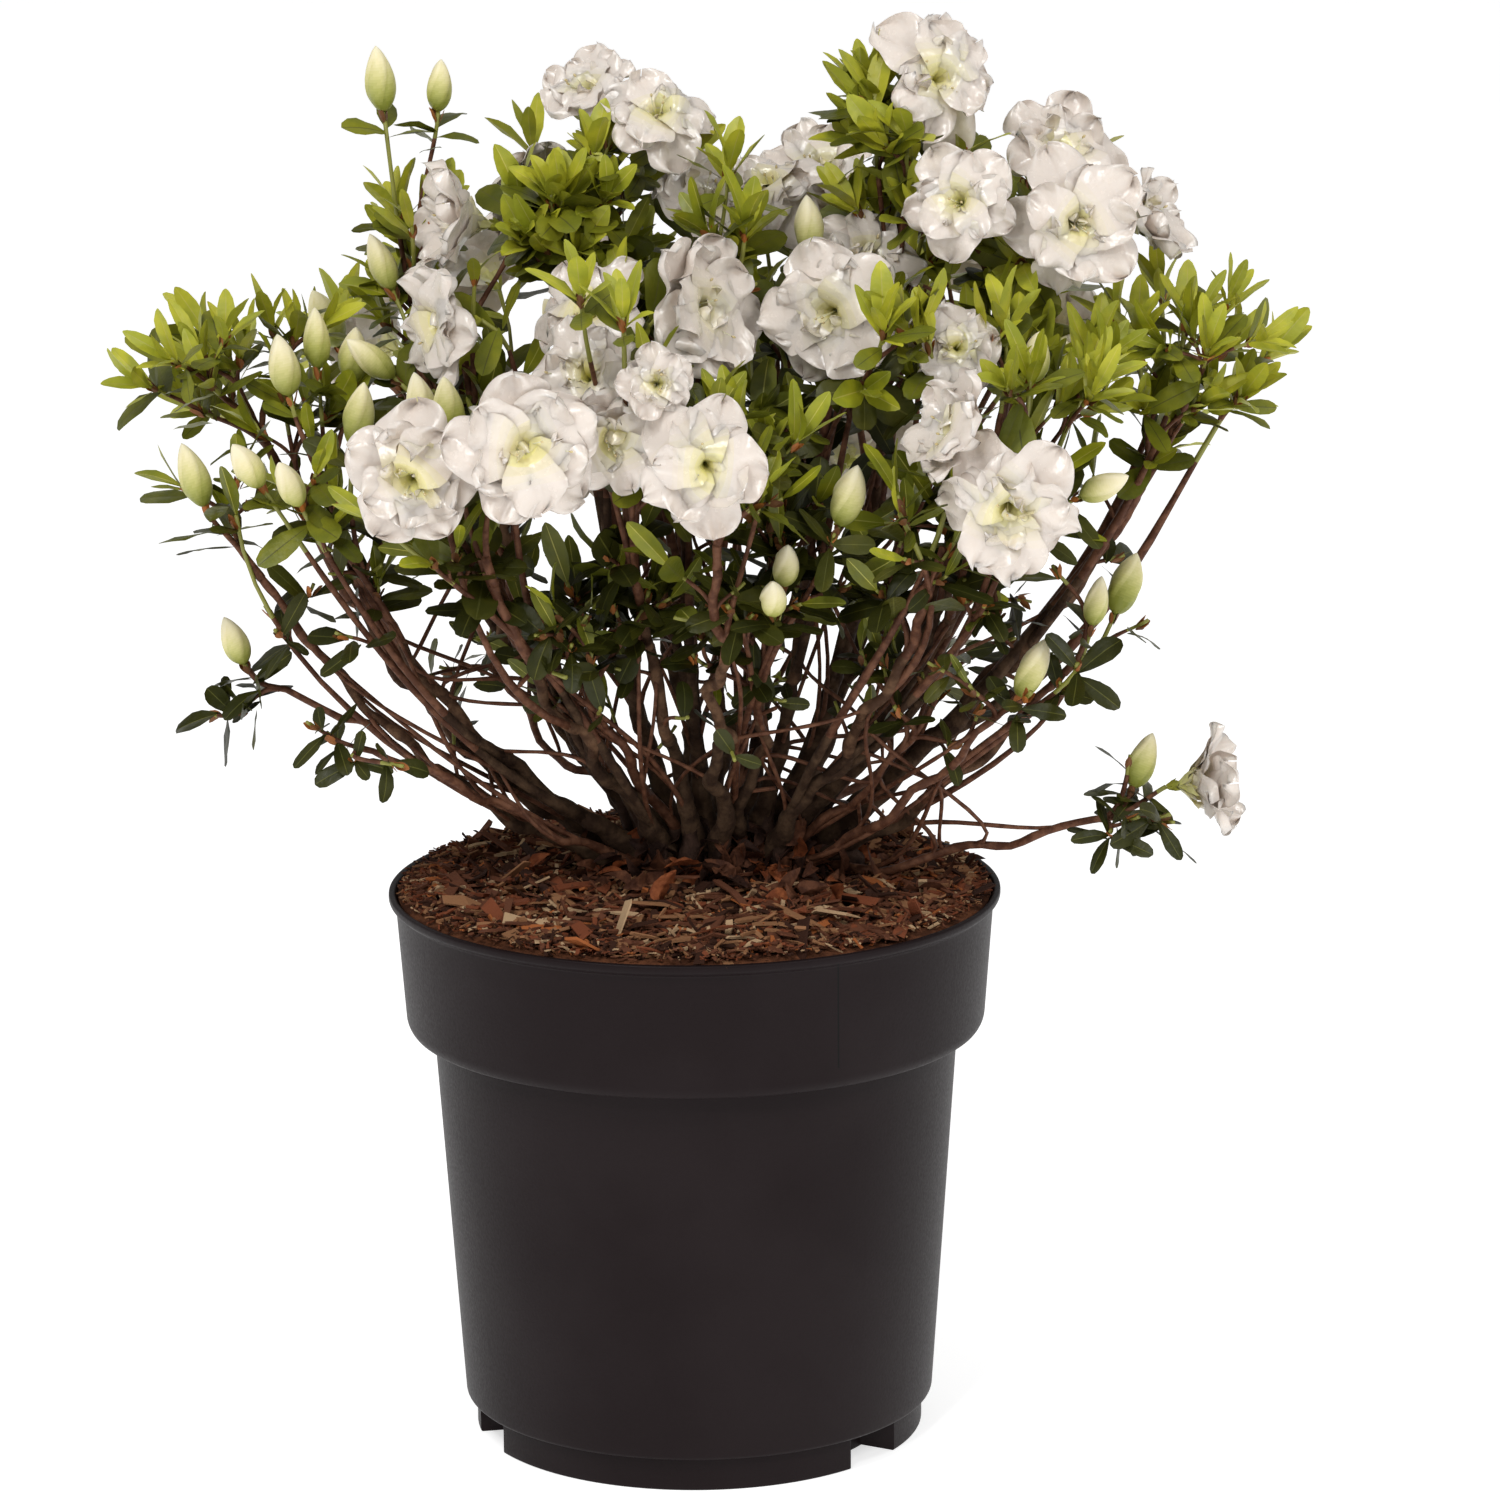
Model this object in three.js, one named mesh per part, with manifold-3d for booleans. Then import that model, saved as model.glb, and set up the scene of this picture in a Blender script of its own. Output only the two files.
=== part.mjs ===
// White double azalea: a many-stemmed evergreen shrub in full flower, in a 23 cm nursery pot.
// Millimetres, +Z up. The origin is the centre of the pot's flat underside, and -Y is the front.
// Every limb rises from one woody crown on the compost. A mass of foliage starts at the tip of each
// bough, and the thin sprays at the foot of the shrub grow straight from the crown.

import * as THREE from "three";
import { mergeVertices } from "three/addons/utils/BufferGeometryUtils.js";
import Module from "manifold-3d";

const wasm = await Module();
wasm.setup();

// ---------------------------------------------------------------- driving dimensions

const CLEAR = 0.42; // the gap left where one node meets another
const LEAST_GAP = 0.32; // a twig, leaf or bloom nearer than this to another node is skipped
const STEP = 1; // height or width of the small steps in the pot's profile
const ROUND_SIDES = 24; // facets of the pot and the compost

const POT = {
  height: 210,
  wall: 2,
  rimRadius: 115,
  lipDrop: 4,
  collarTopRadius: 112.4,
  collarFootRadius: 109,
  collarFoot: 158,
  bodyTopRadius: 98.9,
  bodyFootRadius: 89,
  bodyFoot: 13,
  plinthRadius: 85,
  floor: 3,
};
const NOTCH = { count: 3, width: 26, depth: 14, height: 12, bearing: -39 }; // drain notches in the plinth
const COMPOST = { edge: 204, middle: 208, midRadius: 84, flatRadius: 56, relief: 2.4 };
const CROWN = {
  x: 10,
  y: 8,
  halfWidth: 40,
  halfDepth: 30,
  height: 26,
  topShare: 0.74, // of the foot's width
  lobes: 5,
  lobeDepth: 0.09,
  ridges: 9,
  ridgeDepth: 0.036,
  flare: 0.16,
  sides: 20,
  gap: 0.7, // that each limb keeps from it
};

const LEAF = { length: 35, width: 16.5, thickness: 1.1, widestAt: 0.58, smallest: 0.84, growth: 0.26 };
const BLOOM = {
  radius: 23.5,
  depth: 19,
  lobes: 5,
  notch: 0.76, // the radius between lobes, as a share
  lobeDrop: 0.12,
  heart: 0.42, // shares of the radius and of the depth
  heartDepth: 0.94,
  throatDepth: 0.6,
  twigDepth: 0.84,
};
const BUD = { radius: 6.2, length: 22, widestAt: 0.42, sides: 5, rootedBy: 2 };
const TWIG = { start: 1.4, end: 1.2, sides: 3, apart: 2.4, inset: 1, margin: 2 };
const BOUGH = { sides: 5, spraySides: 4, steps: 5, outPull: 0.38, backPull: 0.36, stemTaper: 0.9 };
const SHOOT = { upturn: 0.28, straightest: 0.3, shortest: 0.72, jitter: 14, apart: 0.05 };
const GOLDEN_ANGLE = THREE.MathUtils.degToRad(137.508);

// Each row is a limb and the foliage at its end. tip is where the limb enters its foliage; lift and
// arrive are its rise in degrees at the crown and at the tip; base and end are its radii there.
// The fork is stem beyond the tip, and leafy shoots open from it by spread degrees, reach long.
// A bloom is [x, y, z of its mouth, bearing and rise that it faces, size]; a bud is [x, y, z of its foot].
// A spray has a thin limb of its own, in one piece with its leaves.
const LIMBS = {
  far_left: {
    tip: [-152, 6, 368], lift: 24, arrive: 64, base: 3.6, end: 1.9, stem: 16, leafy: 4, reach: 40,
    spread: 70, blooms: [], buds: [],
  },
  left_buds: {
    tip: [-126, -32, 350], lift: 34, arrive: 70, base: 3.4, end: 1.9, stem: 14, leafy: 2, reach: 36,
    spread: 80, blooms: [], buds: [[-155, -52, 374], [-141, -56, 368], [-136, -14, 410],
      [-146, -24, 402], [-124, -12, 404], [-122, -40, 386]],
  },
  left_low: {
    tip: [-158, -24, 334], lift: 20, arrive: 56, base: 2.8, end: 1.7, stem: 12, leafy: 2, reach: 22,
    spread: 82, blooms: [], buds: [[-178, -24, 361]],
  },
  tall_left: {
    tip: [-97, 22, 410], lift: 52, arrive: 84, base: 3, end: 1.7, stem: 34, leafy: 2, reach: 30,
    spread: 84, blooms: [], buds: [[-112, 20, 500], [-92, 20, 500]],
  },
  upper_left: {
    tip: [-80, -12, 398], lift: 56, arrive: 80, base: 3.2, end: 1.8, stem: 14, leafy: 2, reach: 42,
    spread: 62, blooms: [[-87, -4, 464, -165, 12, 1.05], [-92, -32, 430, -150, 2, 1]],
    buds: [[-108, -20, 408], [-109, 4, 436]],
  },
  front_left: {
    tip: [-70, -84, 344], lift: 50, arrive: 66, base: 3.3, end: 1.9, stem: 12, leafy: 2, reach: 42,
    spread: 88, blooms: [[-98, -118, 389, -96, 4, 1.12], [-57, -128, 401, -82, 4, 1.15]],
    buds: [[-93, -78, 398], [-84, -86, 398]],
  },
  front_middle: {
    tip: [-22, -66, 362], lift: 62, arrive: 74, base: 3.2, end: 1.9, stem: 12, leafy: 1, reach: 40,
    spread: 84, blooms: [[-36, -88, 421, -100, 26, 0.95], [-27, -108, 400, -80, -8, 0.95],
      [-10, -124, 424, -86, 14, 0.6]], buds: [],
  },
  front_right: {
    tip: [10, -98, 352], lift: 56, arrive: 74, base: 3.1, end: 1.9, stem: 10, leafy: 1, reach: 30,
    spread: 88, blooms: [[7, -140, 397, -84, 2, 1.05]], buds: [],
  },
  top_left: {
    tip: [-40, 16, 424], lift: 70, arrive: 82, base: 3.5, end: 2, stem: 16, leafy: 3, reach: 54,
    spread: 78, blooms: [[-38, 20, 511, -120, 55, 0.85], [-10, 0, 503, -80, 42, 0.95],
      [-60, 36, 472, 135, 26, 0.85]], buds: [],
  },
  centre: {
    tip: [-4, -24, 396], lift: 74, arrive: 80, base: 3.3, end: 2, stem: 12, leafy: 2, reach: 52,
    spread: 72, blooms: [[8, 22, 468, -60, 48, 0.95], [8, -60, 440, -44, 10, 1.25],
      [-36, -34, 436, -112, 36, 0.95]], buds: [],
  },
  centre_right: {
    tip: [50, -24, 392], lift: 66, arrive: 78, base: 3.4, end: 2, stem: 12, leafy: 2, reach: 50,
    spread: 76, blooms: [[50, -54, 436, -108, 2, 1.2], [66, -8, 452, -62, 40, 0.9]],
    buds: [[45, -12, 450]],
  },
  back_middle: {
    tip: [36, 60, 406], lift: 66, arrive: 80, base: 3.3, end: 1.9, stem: 14, leafy: 2, reach: 46,
    spread: 80, blooms: [[30, 62, 467, -120, 52, 0.9], [50, 84, 470, -90, 42, 0.95]], buds: [],
  },
  top_right: {
    tip: [78, 8, 448], lift: 62, arrive: 84, base: 3.4, end: 1.9, stem: 22, leafy: 4, reach: 42,
    spread: 82, blooms: [[93, -12, 516, -62, 20, 1.1]], buds: [],
  },
  upper_right: {
    tip: [122, 4, 412], lift: 54, arrive: 76, base: 3.6, end: 2, stem: 14, leafy: 2, reach: 48,
    spread: 66, blooms: [[98, -50, 476, -98, 14, 0.9], [138, 2, 488, -68, 40, 1.1],
      [140, -42, 467, -80, 4, 1.15], [172, 12, 460, -22, 18, 0.9]], buds: [],
  },
  right_leafy: {
    tip: [116, -48, 376], lift: 50, arrive: 74, base: 3.2, end: 1.9, stem: 14, leafy: 3, reach: 50,
    spread: 72, blooms: [[97, -72, 427, -82, 18, 0.8]], buds: [[124, -62, 412], [141, -62, 370]],
  },
  far_right: {
    tip: [178, 6, 380], lift: 44, arrive: 64, base: 5, end: 2.1, stem: 14, leafy: 5, reach: 46,
    spread: 70, blooms: [], buds: [],
  },
  right_front: {
    tip: [88, -76, 344], lift: 50, arrive: 68, base: 3.1, end: 1.9, stem: 12, leafy: 2, reach: 38,
    spread: 86, blooms: [[91, -108, 404, -152, 28, 0.95], [112, -126, 378, -94, -14, 1.12]], buds: [],
  },
  right_buds: {
    tip: [136, -50, 302], lift: 20, arrive: 46, base: 2.6, end: 1.7, stem: 8, leafy: 2, reach: 26,
    spread: 100, blooms: [], buds: [[146, -52, 320], [155, -42, 322]],
  },
  inner_front: {
    tip: [30, -58, 318], lift: 62, arrive: 72, base: 2.7, end: 1.6, stem: 10, leafy: 2, reach: 38,
    spread: 96, blooms: [], buds: [[30, -92, 334], [34, -80, 342], [54, -82, 364]],
  },
  rear_left: {
    tip: [-104, 84, 366], lift: 42, arrive: 68, base: 3.5, end: 1.9, stem: 14, leafy: 3, reach: 48,
    spread: 84, blooms: [[-124, 100, 402, 146, 18, 1.05], [-82, 116, 430, 122, 34, 1]],
    buds: [[-134, 70, 404]],
  },
  rear_middle: {
    tip: [-18, 104, 384], lift: 58, arrive: 74, base: 3.4, end: 1.9, stem: 14, leafy: 3, reach: 48,
    spread: 84, blooms: [[-32, 150, 420, 98, 18, 1.1], [6, 126, 450, 84, 46, 1]],
    buds: [[-46, 138, 392]],
  },
  rear_right: {
    tip: [98, 96, 376], lift: 46, arrive: 70, base: 3.6, end: 1.9, stem: 14, leafy: 3, reach: 50,
    spread: 82, blooms: [[66, 146, 414, 78, 14, 1.1], [104, 122, 440, 60, 34, 1.05],
      [146, 96, 402, 34, 18, 1]], buds: [],
  },
  rear_low: {
    tip: [12, 122, 318], lift: 36, arrive: 58, base: 3, end: 1.8, stem: 12, leafy: 2, reach: 42,
    spread: 90, blooms: [[-40, 150, 350, 108, 6, 1], [66, 150, 346, 70, 4, 1.05]],
    buds: [[16, 158, 344]],
  },
  left_foot: {
    spray: true, tip: [-158, -13, 291], lift: 16, arrive: 18, base: 1.9, end: 1.3, stem: 8, leafy: 2,
    reach: 20, spread: 84, blooms: [], buds: [[-166, -12, 299]],
  },
  left_foot_low: {
    spray: true, tip: [-122, -50, 276], lift: 20, arrive: 20, base: 1.8, end: 1.3, stem: 8, leafy: 2,
    reach: 16, spread: 84, blooms: [], buds: [],
  },
  inner_left: {
    spray: true, tip: [-38, -55, 308], lift: 58, arrive: 84, base: 2.4, end: 1.5, stem: 8, leafy: 3,
    reach: 28, spread: 90, blooms: [], buds: [],
  },
  right_low: {
    spray: true, tip: [112, -64, 290], lift: 20, arrive: 44, base: 2.1, end: 1.4, stem: 8, leafy: 3,
    reach: 22, spread: 90, blooms: [], buds: [[119, -64, 296]],
  },
  right_dark: {
    spray: true, tip: [82, -43, 278], lift: 34, arrive: 50, base: 1.9, end: 1.3, stem: 8, leafy: 3,
    reach: 24, spread: 90, blooms: [], buds: [],
  },
  inner_back: {
    spray: true, tip: [22, 34, 296], lift: 70, arrive: 84, base: 2.2, end: 1.4, stem: 8, leafy: 2,
    reach: 24, spread: 96, blooms: [], buds: [],
  },
  rear_foot_left: {
    spray: true, tip: [-78, 88, 274], lift: 24, arrive: 44, base: 2.1, end: 1.4, stem: 8, leafy: 2,
    reach: 24, spread: 90, blooms: [], buds: [],
  },
  rear_foot_right: {
    spray: true, tip: [96, 82, 268], lift: 24, arrive: 44, base: 2.1, end: 1.4, stem: 8, leafy: 2,
    reach: 24, spread: 90, blooms: [], buds: [],
  },
  right_foot: {
    spray: true, tip: [153, -44, 246], lift: 3, arrive: 16, base: 2, end: 1.4, stem: 8, leafy: 3,
    reach: 26, spread: 86, blooms: [[192, -40, 258, -14, 8, 0.95]], buds: [[162, -40, 256]],
  },
};

// ---------------------------------------------------------------- solids from three.js geometry

// A closed geometry as a solid. Seams and poles are merged, and faces that have collapsed there go.
function solidOf(geometry) {
  const bare = geometry.index ? geometry.toNonIndexed() : geometry.clone();
  bare.deleteAttribute("normal");
  bare.deleteAttribute("uv");
  const merged = mergeVertices(bare, 1e-4);
  const corners = [];
  const index = merged.index.array;
  for (let i = 0; i < index.length; i += 3) {
    const [a, b, c] = [index[i], index[i + 1], index[i + 2]];
    if (a !== b && b !== c && c !== a) corners.push(a, b, c);
  }
  const mesh = new wasm.Mesh({
    numProp: 3,
    vertProperties: merged.attributes.position.array,
    triVerts: new Uint32Array(corners),
  });
  return new wasm.Manifold(mesh);
}

// The triangles of a solid as a geometry.
function geometryOf(solid) {
  const mesh = solid.getMesh();
  const places = new Float32Array(mesh.numVert * 3);
  for (let i = 0; i < mesh.numVert; i++) {
    places.set(mesh.vertProperties.subarray(i * mesh.numProp, i * mesh.numProp + 3), i * 3);
  }
  const geometry = new THREE.BufferGeometry();
  geometry.setAttribute("position", new THREE.BufferAttribute(places, 3));
  geometry.setIndex(new THREE.BufferAttribute(mesh.triVerts, 1));
  geometry.computeVertexNormals();
  return geometry;
}

// The largest body of a solid, by its outer skin, so that loose scraps and sealed hollows go.
function largestBody(solid) {
  return solid.decompose().reduce((best, body) => (body.volume() > best.volume() ? body : best));
}

// Moves each vertex of a geometry by a function of its place.
function reshape(geometry, move) {
  const places = geometry.attributes.position;
  const at = new THREE.Vector3();
  for (let i = 0; i < places.count; i++) {
    at.fromBufferAttribute(places, i);
    move(at);
    places.setXYZ(i, at.x, at.y, at.z);
  }
  return geometry;
}

// Turns a lathed or cylindrical geometry, whose axis is +Y, to stand on +Z.
const upright = (geometry) => geometry.rotateX(Math.PI / 2);

const lathe = (profile) =>
  upright(new THREE.LatheGeometry(profile.map(([r, z]) => new THREE.Vector2(r, z)), ROUND_SIDES));

const vector = (numbers) => new THREE.Vector3(...numbers);

// The direction of a bearing, counted from +X towards +Y, and a rise above level, in degrees.
function heading(bearing, rise) {
  const [b, r] = [THREE.MathUtils.degToRad(bearing), THREE.MathUtils.degToRad(rise)];
  return new THREE.Vector3(Math.cos(b) * Math.cos(r), Math.sin(b) * Math.cos(r), Math.sin(r));
}

const bearingOf = (v) => THREE.MathUtils.radToDeg(Math.atan2(v.y, v.x));

// A number from 0 to 1 that depends only on its three arguments: the seeded rule of the whole shrub.
function chance(limb, shoot, use) {
  const mixed = Math.sin(limb * 127.1 + shoot * 311.7 + use * 74.7) * 43758.5453;
  return mixed - Math.floor(mixed);
}

// Carries a geometry whose length runs along +Y so that +Y lies along `along` and +Z near `face`.
function place(geometry, foot, along, face) {
  const y = along.clone().normalize();
  const x = new THREE.Vector3().crossVectors(y, face).normalize();
  const z = new THREE.Vector3().crossVectors(x, y);
  return geometry.applyMatrix4(new THREE.Matrix4().makeBasis(x, y, z).setPosition(foot));
}

// Any direction square to the given one.
function across(direction) {
  const other = Math.abs(direction.z) < 0.9 ? new THREE.Vector3(0, 0, 1) : new THREE.Vector3(1, 0, 0);
  return new THREE.Vector3().crossVectors(direction, other).normalize();
}

// A tapering limb: an open cylinder bent along a curve, and closed at each end by a fan of triangles.
function limbGeometry(curve, startRadius, endRadius, sides, steps) {
  const frames = curve.computeFrenetFrames(steps);
  const limb = new THREE.CylinderGeometry(1, 1, 1, sides, steps, true);
  reshape(limb, (at) => {
    const share = at.y + 0.5;
    const step = Math.round(share * steps);
    const radius = THREE.MathUtils.lerp(startRadius, endRadius, share);
    const [side, lift] = [at.x * radius, at.z * radius];
    at.copy(curve.getPointAt(share));
    at.addScaledVector(frames.binormals[step], side);
    at.addScaledVector(frames.normals[step], lift);
  });
  const faces = [...limb.index.array];
  const foot = steps * (sides + 1);
  for (let i = 1; i < sides - 1; i++) faces.push(0, i, i + 1, foot, foot + i + 1, foot + i);
  return limb.setIndex(faces);
}

// ---------------------------------------------------------------- pot, compost and woody crown

function notches(grow) {
  const cuts = [];
  for (let i = 0; i < NOTCH.count; i++) {
    const [depth, height] = [2 * (NOTCH.depth + grow), 2 * (NOTCH.height + grow)];
    const cut = new THREE.BoxGeometry(depth, NOTCH.width + 2 * grow, height);
    cut.translate(POT.plinthRadius, 0, 0);
    cut.rotateZ(THREE.MathUtils.degToRad(NOTCH.bearing + (360 / NOTCH.count) * i));
    cuts.push(solidOf(cut));
  }
  return wasm.Manifold.union(cuts);
}

// The room inside the pot above its drain notches, drawn in by `gap` from its walls and closed at `top`.
function potRoom(gap, top) {
  const inset = POT.wall + gap;
  const flare = (top - POT.collarFoot) / (POT.height - POT.collarFoot);
  return [
    [POT.plinthRadius - inset, POT.bodyFoot + POT.wall + gap],
    [POT.bodyFootRadius - inset, POT.bodyFoot + POT.wall + STEP + gap],
    [POT.bodyTopRadius - inset, POT.collarFoot + POT.wall + gap],
    [POT.collarFootRadius - inset, POT.collarFoot + POT.wall + gap],
    [THREE.MathUtils.lerp(POT.collarFootRadius, POT.collarTopRadius, flare) - inset, top],
  ];
}

function potSolid() {
  const outside = solidOf(lathe([
    [0, 0],
    [POT.plinthRadius, 0],
    [POT.plinthRadius, POT.bodyFoot - STEP],
    [POT.bodyFootRadius, POT.bodyFoot],
    [POT.bodyTopRadius, POT.collarFoot],
    [POT.collarFootRadius, POT.collarFoot],
    [POT.collarTopRadius, POT.height - POT.lipDrop],
    [POT.rimRadius, POT.height - POT.lipDrop + STEP],
    [POT.rimRadius, POT.height],
    [0, POT.height],
  ]));
  const plinthRoom = [[0, POT.floor], [POT.plinthRadius - POT.wall, POT.floor]];
  const above = POT.height + STEP;
  const room = solidOf(lathe([...plinthRoom, ...potRoom(0, above), [0, above]]));
  return outside.subtract(notches(0)).subtract(room.subtract(notches(POT.wall)));
}

// The compost stands clear of the drain notches below it. Its top rises a little from the rim inwards,
// and is level round the crown.
function compostSolid() {
  const walls = potRoom(CLEAR, COMPOST.edge);
  const slope = [COMPOST.midRadius, (COMPOST.edge + COMPOST.middle) / 2];
  const level = [[COMPOST.flatRadius, COMPOST.middle], [0, COMPOST.middle]];
  const body = lathe([[0, walls[0][1]], ...walls, slope, ...level]);
  reshape(body, (at) => {
    const radius = Math.hypot(at.x, at.y);
    if (at.z < COMPOST.edge + CLEAR || radius < COMPOST.flatRadius + STEP) return;
    const spot = Math.round(Math.atan2(at.y, at.x) * 100);
    at.z += COMPOST.relief * (chance(spot, Math.round(radius), 1) - 0.5);
  });
  return solidOf(body);
}

// The woody crown is a low lobed stump with a flat foot. `grow` swells it by the gap that limbs keep.
function crownSolid(grow) {
  const foot = COMPOST.middle + CLEAR - grow;
  const height = CROWN.height + 2 * grow;
  const stump = new THREE.CylinderGeometry(CROWN.topShare, 1, 1, CROWN.sides, 2);
  reshape(stump, (at) => {
    const bearing = Math.atan2(at.z, at.x);
    const share = at.y + 0.5;
    const lobe = CROWN.lobeDepth * Math.cos(CROWN.lobes * bearing);
    const ridge = CROWN.ridgeDepth * Math.cos(CROWN.ridges * bearing);
    const swell = (1 + lobe + ridge) * (1 + CROWN.flare * (1 - share) ** 2);
    at.x *= swell * (CROWN.halfWidth + grow);
    at.z *= swell * (CROWN.halfDepth + grow);
    at.y = share * height;
  });
  upright(stump);
  return solidOf(stump.translate(CROWN.x, CROWN.y, foot));
}

// ---------------------------------------------------------------- where the limbs run

const names = Object.keys(LIMBS);
const CROWN_TOP = COMPOST.middle + CLEAR + CROWN.height;
const HEEL = {
  deepest: 19,
  shallowest: 6,
  steepest: 75, // the lift of the shallowest heel
  nearest: 0.25, // shares of the crown's radii
  furthest: 0.92,
  reach: 180,
  apart: 1.5,
  rounds: 80,
};

// Heels are the feet of the limbs inside the crown. A limb that reaches further out starts nearer the
// crown's edge, and a flatter one starts lower. Heels that would crowd each other are pushed apart.
function heels() {
  const feet = names.map((name) => {
    const row = LIMBS[name];
    const away = new THREE.Vector2(row.tip[0] - CROWN.x, row.tip[1] - CROWN.y);
    const reached = Math.min(1, away.length() / HEEL.reach);
    away.normalize().multiplyScalar(THREE.MathUtils.lerp(HEEL.nearest, HEEL.furthest, reached));
    return new THREE.Vector2(away.x * CROWN.halfWidth, away.y * CROWN.halfDepth);
  });
  for (let round = 0; round < HEEL.rounds; round++) {
    for (let i = 0; i < feet.length; i++) {
      for (let j = i + 1; j < feet.length; j++) {
        const wanted = LIMBS[names[i]].base + LIMBS[names[j]].base + HEEL.apart;
        const between = feet[j].clone().sub(feet[i]);
        const short = wanted - between.length();
        if (short <= 0) continue;
        between.normalize().multiplyScalar(short / 2);
        feet[i].sub(between);
        feet[j].add(between);
      }
    }
  }
  return feet.map((foot, i) => {
    const share = LIMBS[names[i]].lift / HEEL.steepest;
    const depth = THREE.MathUtils.lerp(HEEL.deepest, HEEL.shallowest, share);
    return new THREE.Vector3(CROWN.x + foot.x, CROWN.y + foot.y, CROWN_TOP - depth);
  });
}

const SWINGS = { tries: 40, step: 4, rise: 0.8, samples: 8, clear: 1 };

// The curve of a limb, swung sideways and up by `swing` to pass an earlier limb.
function limbCurve(row, heel, swing) {
  const tip = vector(row.tip);
  const bearing = bearingOf(tip.clone().sub(heel));
  const span = tip.distanceTo(heel);
  const aside = heading(bearing + 90, 0).multiplyScalar(swing.side);
  const out = heel.clone().addScaledVector(heading(bearing, row.lift), BOUGH.outPull * span).add(aside);
  out.z += swing.up;
  const back = tip.clone().addScaledVector(heading(bearing, row.arrive), -BOUGH.backPull * span).add(aside);
  back.z += swing.up;
  return new THREE.CubicBezierCurve3(heel, out, back, tip);
}

// Points down the straight lengths that a limb is made of, with the radius at each.
function beads(curve, row) {
  const corners = curve.getSpacedPoints(BOUGH.steps);
  return Array.from({ length: SWINGS.samples * BOUGH.steps }, (_, i) => {
    const step = Math.floor(i / SWINGS.samples);
    const share = (i + 0.5) / (SWINGS.samples * BOUGH.steps);
    const at = corners[step].clone().lerp(corners[step + 1], (i % SWINGS.samples + 0.5) / SWINGS.samples);
    return { at, radius: THREE.MathUtils.lerp(row.base, row.end, share) };
  });
}

// The smallest gap between two limbs, from their beads.
function gapBetween(one, other) {
  let least = Infinity;
  for (const a of one) {
    for (const b of other) least = Math.min(least, a.at.distanceTo(b.at) - a.radius - b.radius);
  }
  return least;
}

// Each limb takes the first swing that clears the limbs before it, or the one that clears them most.
function limbRoutes() {
  const routes = [];
  const placed = [];
  heels().forEach((heel, i) => {
    const row = LIMBS[names[i]];
    let best = null;
    for (let k = 0; k < SWINGS.tries; k++) {
      const size = SWINGS.step * Math.ceil(k / 4);
      const swing = { side: [0, 1, -1, 0][k % 4] * size, up: [1, 0, 0, -1][k % 4] * size * SWINGS.rise };
      const curve = limbCurve(row, heel, swing);
      const line = beads(curve, row);
      const gap = Math.min(...placed.map((other) => gapBetween(line, other)), Infinity);
      if (!best || gap > best.gap) best = { curve, line, gap };
      if (gap > SWINGS.clear) break;
    }
    placed.push(best.line);
    routes.push(best.curve);
  });
  return routes;
}

// ---------------------------------------------------------------- what grows on a shoot

// A leaf is a flat upper side, widest past its middle, over a shallow keel. It runs from its foot along
// +Y with its upper side to +Z.
function leafSolid(foot, along, face, size) {
  const half = LEAF.width / 2;
  const widest = LEAF.widestAt * LEAF.length;
  const corners = [
    [0, 0, 0],
    [half, widest, 0],
    [0, LEAF.length, 0],
    [-half, widest, 0],
    [0, widest, -LEAF.thickness],
  ];
  const faces = [[0, 1, 3], [1, 2, 3], [0, 4, 1], [1, 4, 2], [2, 4, 3], [3, 4, 0]];
  const leaf = new THREE.BufferGeometry().setFromPoints(corners.map(vector));
  leaf.setIndex(faces.flat());
  leaf.scale(size, size, size);
  return solidOf(place(leaf, foot, along, face));
}

// A bloom is a funnel with five lobes round a shallow heart. Its mouth is at `mouth`.
function bloomSolid(mouth, facing, size) {
  const [radius, depth] = [BLOOM.radius * size, BLOOM.depth * size];
  const heart = [[BLOOM.heart * radius, BLOOM.heartDepth * depth], [0, BLOOM.throatDepth * depth]];
  const profile = [[0, 0], [radius, depth], ...heart];
  const funnel = new THREE.LatheGeometry(profile.map(([r, y]) => new THREE.Vector2(r, y)), 2 * BLOOM.lobes);
  reshape(funnel, (at) => {
    const lobe = Math.round((Math.atan2(at.x, at.z) / Math.PI) * BLOOM.lobes);
    if (Math.hypot(at.x, at.z) < 0.9 * radius || lobe % 2 === 0) return;
    at.multiply(new THREE.Vector3(BLOOM.notch, 1 - BLOOM.lobeDrop, BLOOM.notch));
  });
  return solidOf(place(funnel, mouth.clone().addScaledVector(facing, -depth), facing, across(facing)));
}

// A bud is a pointed egg.
function budSolid(foot, along) {
  const profile = [[0, 0], [BUD.radius, BUD.length * BUD.widestAt], [0, BUD.length]];
  const egg = new THREE.LatheGeometry(profile.map(([r, y]) => new THREE.Vector2(r, y)), BUD.sides);
  return solidOf(place(egg, foot, along, across(along)));
}

// ---------------------------------------------------------------- the masses

const up = new THREE.Vector3(0, 0, 1);
const firm = []; // the pot, the compost, the crown and the boughs, as { solid, box }
const growth = []; // one entry a mass: its pieces, its fork and its shoots

const piece = (solid, shoot = null) => ({ solid, shoot, box: solid.boundingBox() });

// True if a piece comes nearer than `gap` to any piece of the list.
function meets(mine, others, gap) {
  const before = (one, two, k) => one.box.min[k] - gap < two.box.max[k];
  const near = (other) => [0, 1, 2].every((k) => before(mine, other, k) && before(other, mine, k));
  return others.some((other) => near(other) && mine.solid.minGap(other.solid, gap) < gap);
}

// Adds a piece to its mass, unless it would touch another node or cut through another shoot.
function tryPiece(mass, solid, shoot) {
  const mine = piece(solid, shoot);
  const others = growth.filter((other) => other !== mass).flatMap((other) => other.pieces);
  if (meets(mine, firm, LEAST_GAP) || meets(mine, others, LEAST_GAP)) return false;
  const beside = mass.pieces.filter((other) => other.shoot && other.shoot !== shoot);
  if (shoot && meets(mine, beside, SHOOT.apart)) return false;
  mass.pieces.push(mine);
  return true;
}

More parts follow.
